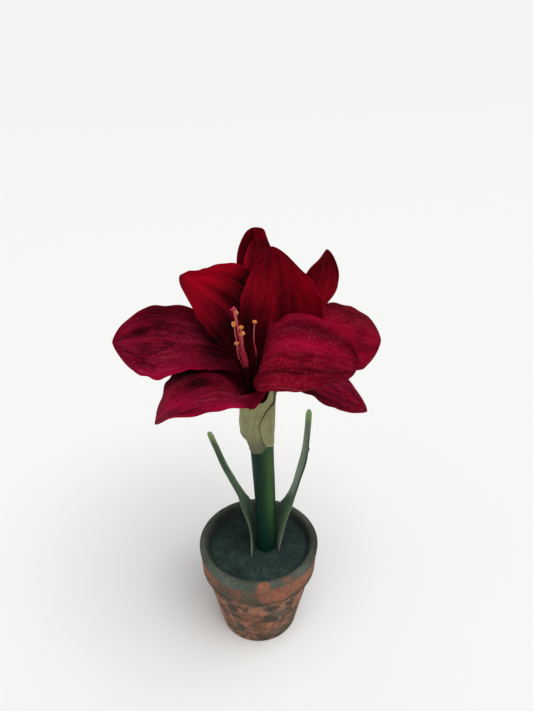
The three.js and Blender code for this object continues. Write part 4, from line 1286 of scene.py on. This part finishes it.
def potProfile():  # radius and height, from the middle of the underside round to the middle of the floor
    p = pot
    bandFoot = p["height"] - p["bandHeight"]
    foot, bend, half = p["footBend"], p["bandBend"], (p["rimRadius"] - p["mouthRadius"]) / 2
    return [
        (0.5, 0), (p["footRadius"] - 2.2, 0),
        *rounded(p["footRadius"] - foot, foot, foot, foot, -90, 0, 4)[1:],
        (p["shoulderRadius"], bandFoot - 1.2),
        *rounded(p["bandFootRadius"] - bend, bandFoot + bend, bend, bend, -90, 0, 5)[1:],
        ((p["rimRadius"] + p["bandFootRadius"]) / 2 - 0.5, p["height"] - p["bandHeight"] / 2),
        *rounded(p["rimRadius"] - half, p["height"] - p["lip"], half, p["lip"], 0, 180, 12),
        (p["floorRadius"] + 1.5, p["floorThickness"] + 1.5), (p["floorRadius"], p["floorThickness"]),
        (0.5, p["floorThickness"]),
    ]


def potPart():
    rng = np.random.default_rng(11)
    corners = potProfile()
    profile = []
    for (r0, z0), (r1, z1) in zip(corners, corners[1:]):
        count = max(1, int(math.hypot(r1 - r0, z1 - z0) / pot["ringStep"]))
        profile += [(mix(r0, r1, k / count), mix(z0, z1, k / count)) for k in range(count)]
    r, z = np.array(profile + corners[-1:]).T
    turn = np.linspace(0, 2 * np.pi, pot["sides"], endpoint=False)[None, :]
    outside = smooth((r - 36) / 4)[:, None]
    wobble = 0.25 * np.sin(2 * turn + 0.6) + 0.15 * np.sin(3 * turn + 2)
    throwing = 0.14 * ripples(rng, 6, 0.08, 0.3)(z)[:, None]
    dents = np.zeros((len(r), pot["sides"]))
    for _ in range(pot["dents"]):
        where, level = rng.uniform(0, 2 * np.pi), rng.choice([rng.uniform(3, 64), rng.uniform(70, 96)])
        away = np.angle(np.exp(1j * (turn - where))) * 50
        size = rng.uniform(*pot["dentSizes"])
        dents -= rng.uniform(*pot["dentDepths"]) * bell(away, size) * bell(z[:, None] - level, size * 0.7)
    radius = r[:, None] + outside * (wobble * 0.6 + throwing + dents - 0.25)
    level = z[:, None] + 0.3 * smooth((z[:, None] - 80) / 16) * (np.sin(turn + 1) * 0.5 - 0.5)
    return loftPart(np.stack([radius * np.cos(turn), radius * np.sin(turn), level], -1))


weatheredTerracotta = newMaterial("weatheredTerracotta", potSurface, Specular_IOR_Level=0.25)
settled(meshPiece("potShell", [potPart()], weatheredTerracotta), "terracotta", "pot")


# Soil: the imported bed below, and a mossy, crumbly top

soil = {
    "level": 86.5,
    "radius": 46.4,
    "relief": 1.4,
    "waves": 26,
    "hill": 2.0,  # round the scape
    "lowest": 1.2,  # below its level
    "floor": 2.6,
    "rings": 60,
    "sides": 150,
    "crumbs": 0.55,  # on a square millimetre that faces upwards
    "sprigs": 0.9,
    "size": 2.0,  # of the largest crumb or sprig
    "black": paint(39, 56, 57),
    "earth": paint(50, 66, 63),
    "moss": paint(60, 80, 71),
    "mossPale": paint(80, 100, 82),
}


def soilSurface(tree):
    place = places(tree)
    _, y, _ = place.split()
    grit = place.noise(420.0, 5.0, 0.7)
    green = place.noise(42.0, 4.0, 0.6) + y.ramp(0.02, -0.04, 0.0, 0.12)
    color = layered(
        soil["black"],
        (grit.ramp(0.35, 0.7), soil["earth"]),
        (green.ramp(0.5, 0.66) * grit.ramp(0.35, 0.6), soil["moss"]),
    )
    return color, grit.bump(0.0012, 0.9), grit.ramp(0.3, 0.7, 0.85, 1.0)


def mossSurface(tree):
    tint = places(tree).noise(160.0, 3.0, 0.6)
    color = layered(
        soil["moss"],
        (tint.ramp(0.35, 0.68), soil["mossPale"]),
        (tint.ramp(0.3, 0.45, 0.6, 0.0), soil["black"]),
    )
    return color, tint.bump(0.0003, 0.5), tint.ramp(0.3, 0.7, 0.8, 0.95)


def soilHeight(x, y):
    rng = np.random.default_rng(8)
    height = np.zeros_like(x)
    for _ in range(soil["waves"]):
        wave = rng.normal(0, 0.28, 2)
        height += np.sin(x * wave[0] + y * wave[1] + rng.uniform(0, 6.3)) / soil["waves"] ** 0.5
    far = np.hypot(x, y) / soil["radius"]
    hill = soil["hill"] * bell(np.hypot(x - 6, y + 3) - 8, 7)
    return soil["level"] + soil["relief"] * 0.6 * height + hill - 0.6 * smooth((far - 0.75) / 0.25)


def soilTopPart():
    r = np.linspace(soil["radius"], 0.4, soil["rings"])[:, None]
    turn = np.linspace(0, 2 * np.pi, soil["sides"], endpoint=False)[None, :]
    x, y = r * np.cos(turn), r * np.sin(turn)
    top = np.stack([x, y, np.maximum(soilHeight(x, y), soil["level"] - soil["lowest"])], -1)
    floor = top[::-1].copy()
    floor[..., 2] = soil["level"] - soil["floor"]
    return loftPart(np.concatenate([floor, top]))


def scatterTree(name, blades):  # moss blades or crumbs, on all that faces upwards
    tree, given = geometryTree(name, Density=1.0, Size=1.0, Seed=1, Material=None)
    seed = given["Seed"]
    _, _, up = put(tree, "GeometryNodeInputNormal").split()
    upward = up.maths("GREATER_THAN", 0.3)
    spread = {"Mesh": given["Geometry"], "Selection": upward, "Density": given["Density"], "Seed": seed}
    spots = put(tree, "GeometryNodeDistributePointsOnFaces", spread)
    if blades:
        cone = {"Vertices": 4, "Radius Top": 0.02, "Radius Bottom": 0.13, "Depth": 1.0}
        shape = put(tree, "GeometryNodeMeshCone", cone)
        low, high = (-0.75, -0.75, 0.0), (0.75, 0.75, 6.28)
    else:
        ball = put(tree, "GeometryNodeMeshIcoSphere", {"Radius": 0.5, "Subdivisions": 1})
        lumps = {0: (-0.12,) * 3, 1: (0.12,) * 3, 8: 5}
        offset = put(tree, "FunctionNodeRandomValue", lumps, data_type="FLOAT_VECTOR")
        shape = put(tree, "GeometryNodeSetPosition", {"Geometry": ball, "Offset": offset})
        low, high = (0.0, 0.0, 0.0), (6.28, 6.28, 6.28)
    turn = put(tree, "FunctionNodeRandomValue", {0: low, 1: high, 8: seed}, data_type="FLOAT_VECTOR")
    size = put(tree, "FunctionNodeRandomValue", {2: 0.35, 3: 1.0, 8: seed}, 1, data_type="FLOAT")
    laid = {"Points": spots, "Instance": shape, "Rotation": turn, "Scale": size * given["Size"]}
    return ended(tree, put(tree, "GeometryNodeInstanceOnPoints", laid), given["Material"])


mossySoil = newMaterial("mossySoil", soilSurface, Specular_IOR_Level=0.15)
mossSprig = newMaterial("mossSprig", mossSurface, Specular_IOR_Level=0.2)
soilTop = settled(meshPiece("soilTop", [soilTopPart()], mossySoil), "soil")
for name, blades, density, material in (
    ("soilCrumbs", False, soil["crumbs"], mossySoil),
    ("mossSprigs", True, soil["sprigs"], mossSprig),
):
    piece = grown(
        linked(name, soilTop.data.copy()), scatterTree(name, blades), Density=density / mm**2,
        Size=soil["size"] * mm, Seed=4, Material=material,
    )
    settled(piece, "soil")

bulbLook = {"skin": paint(128, 88, 52), "dry": paint(84, 52, 32), "pale": paint(176, 146, 104)}


def bulbSurface(tree):
    place = places(tree)
    ribs = place.stretched(260, 260, 24).noise(1.0, 4.0, 0.6, 0.3)
    flakes = place.noise(90.0, 4.0, 0.6, 0.4)
    color = layered(
        bulbLook["dry"],
        (ribs.ramp(0.35, 0.65), bulbLook["skin"]),
        (flakes.ramp(0.55, 0.7, 0.0, 0.6), bulbLook["pale"]),
    )
    return color, ribs.bump(0.0008, 0.7, flakes.bump(0.0006, 0.5)), flakes.ramp(0.3, 0.7, 0.5, 0.75)


bulbSkin = newMaterial("bulbSkin", bulbSurface, Specular_IOR_Level=0.3)
for node, material in (("soil", mossySoil), ("bulb", bulbSkin)):
    shown = bpy.data.objects[node]
    shown.data.materials.clear()
    shown.data.materials.append(material)
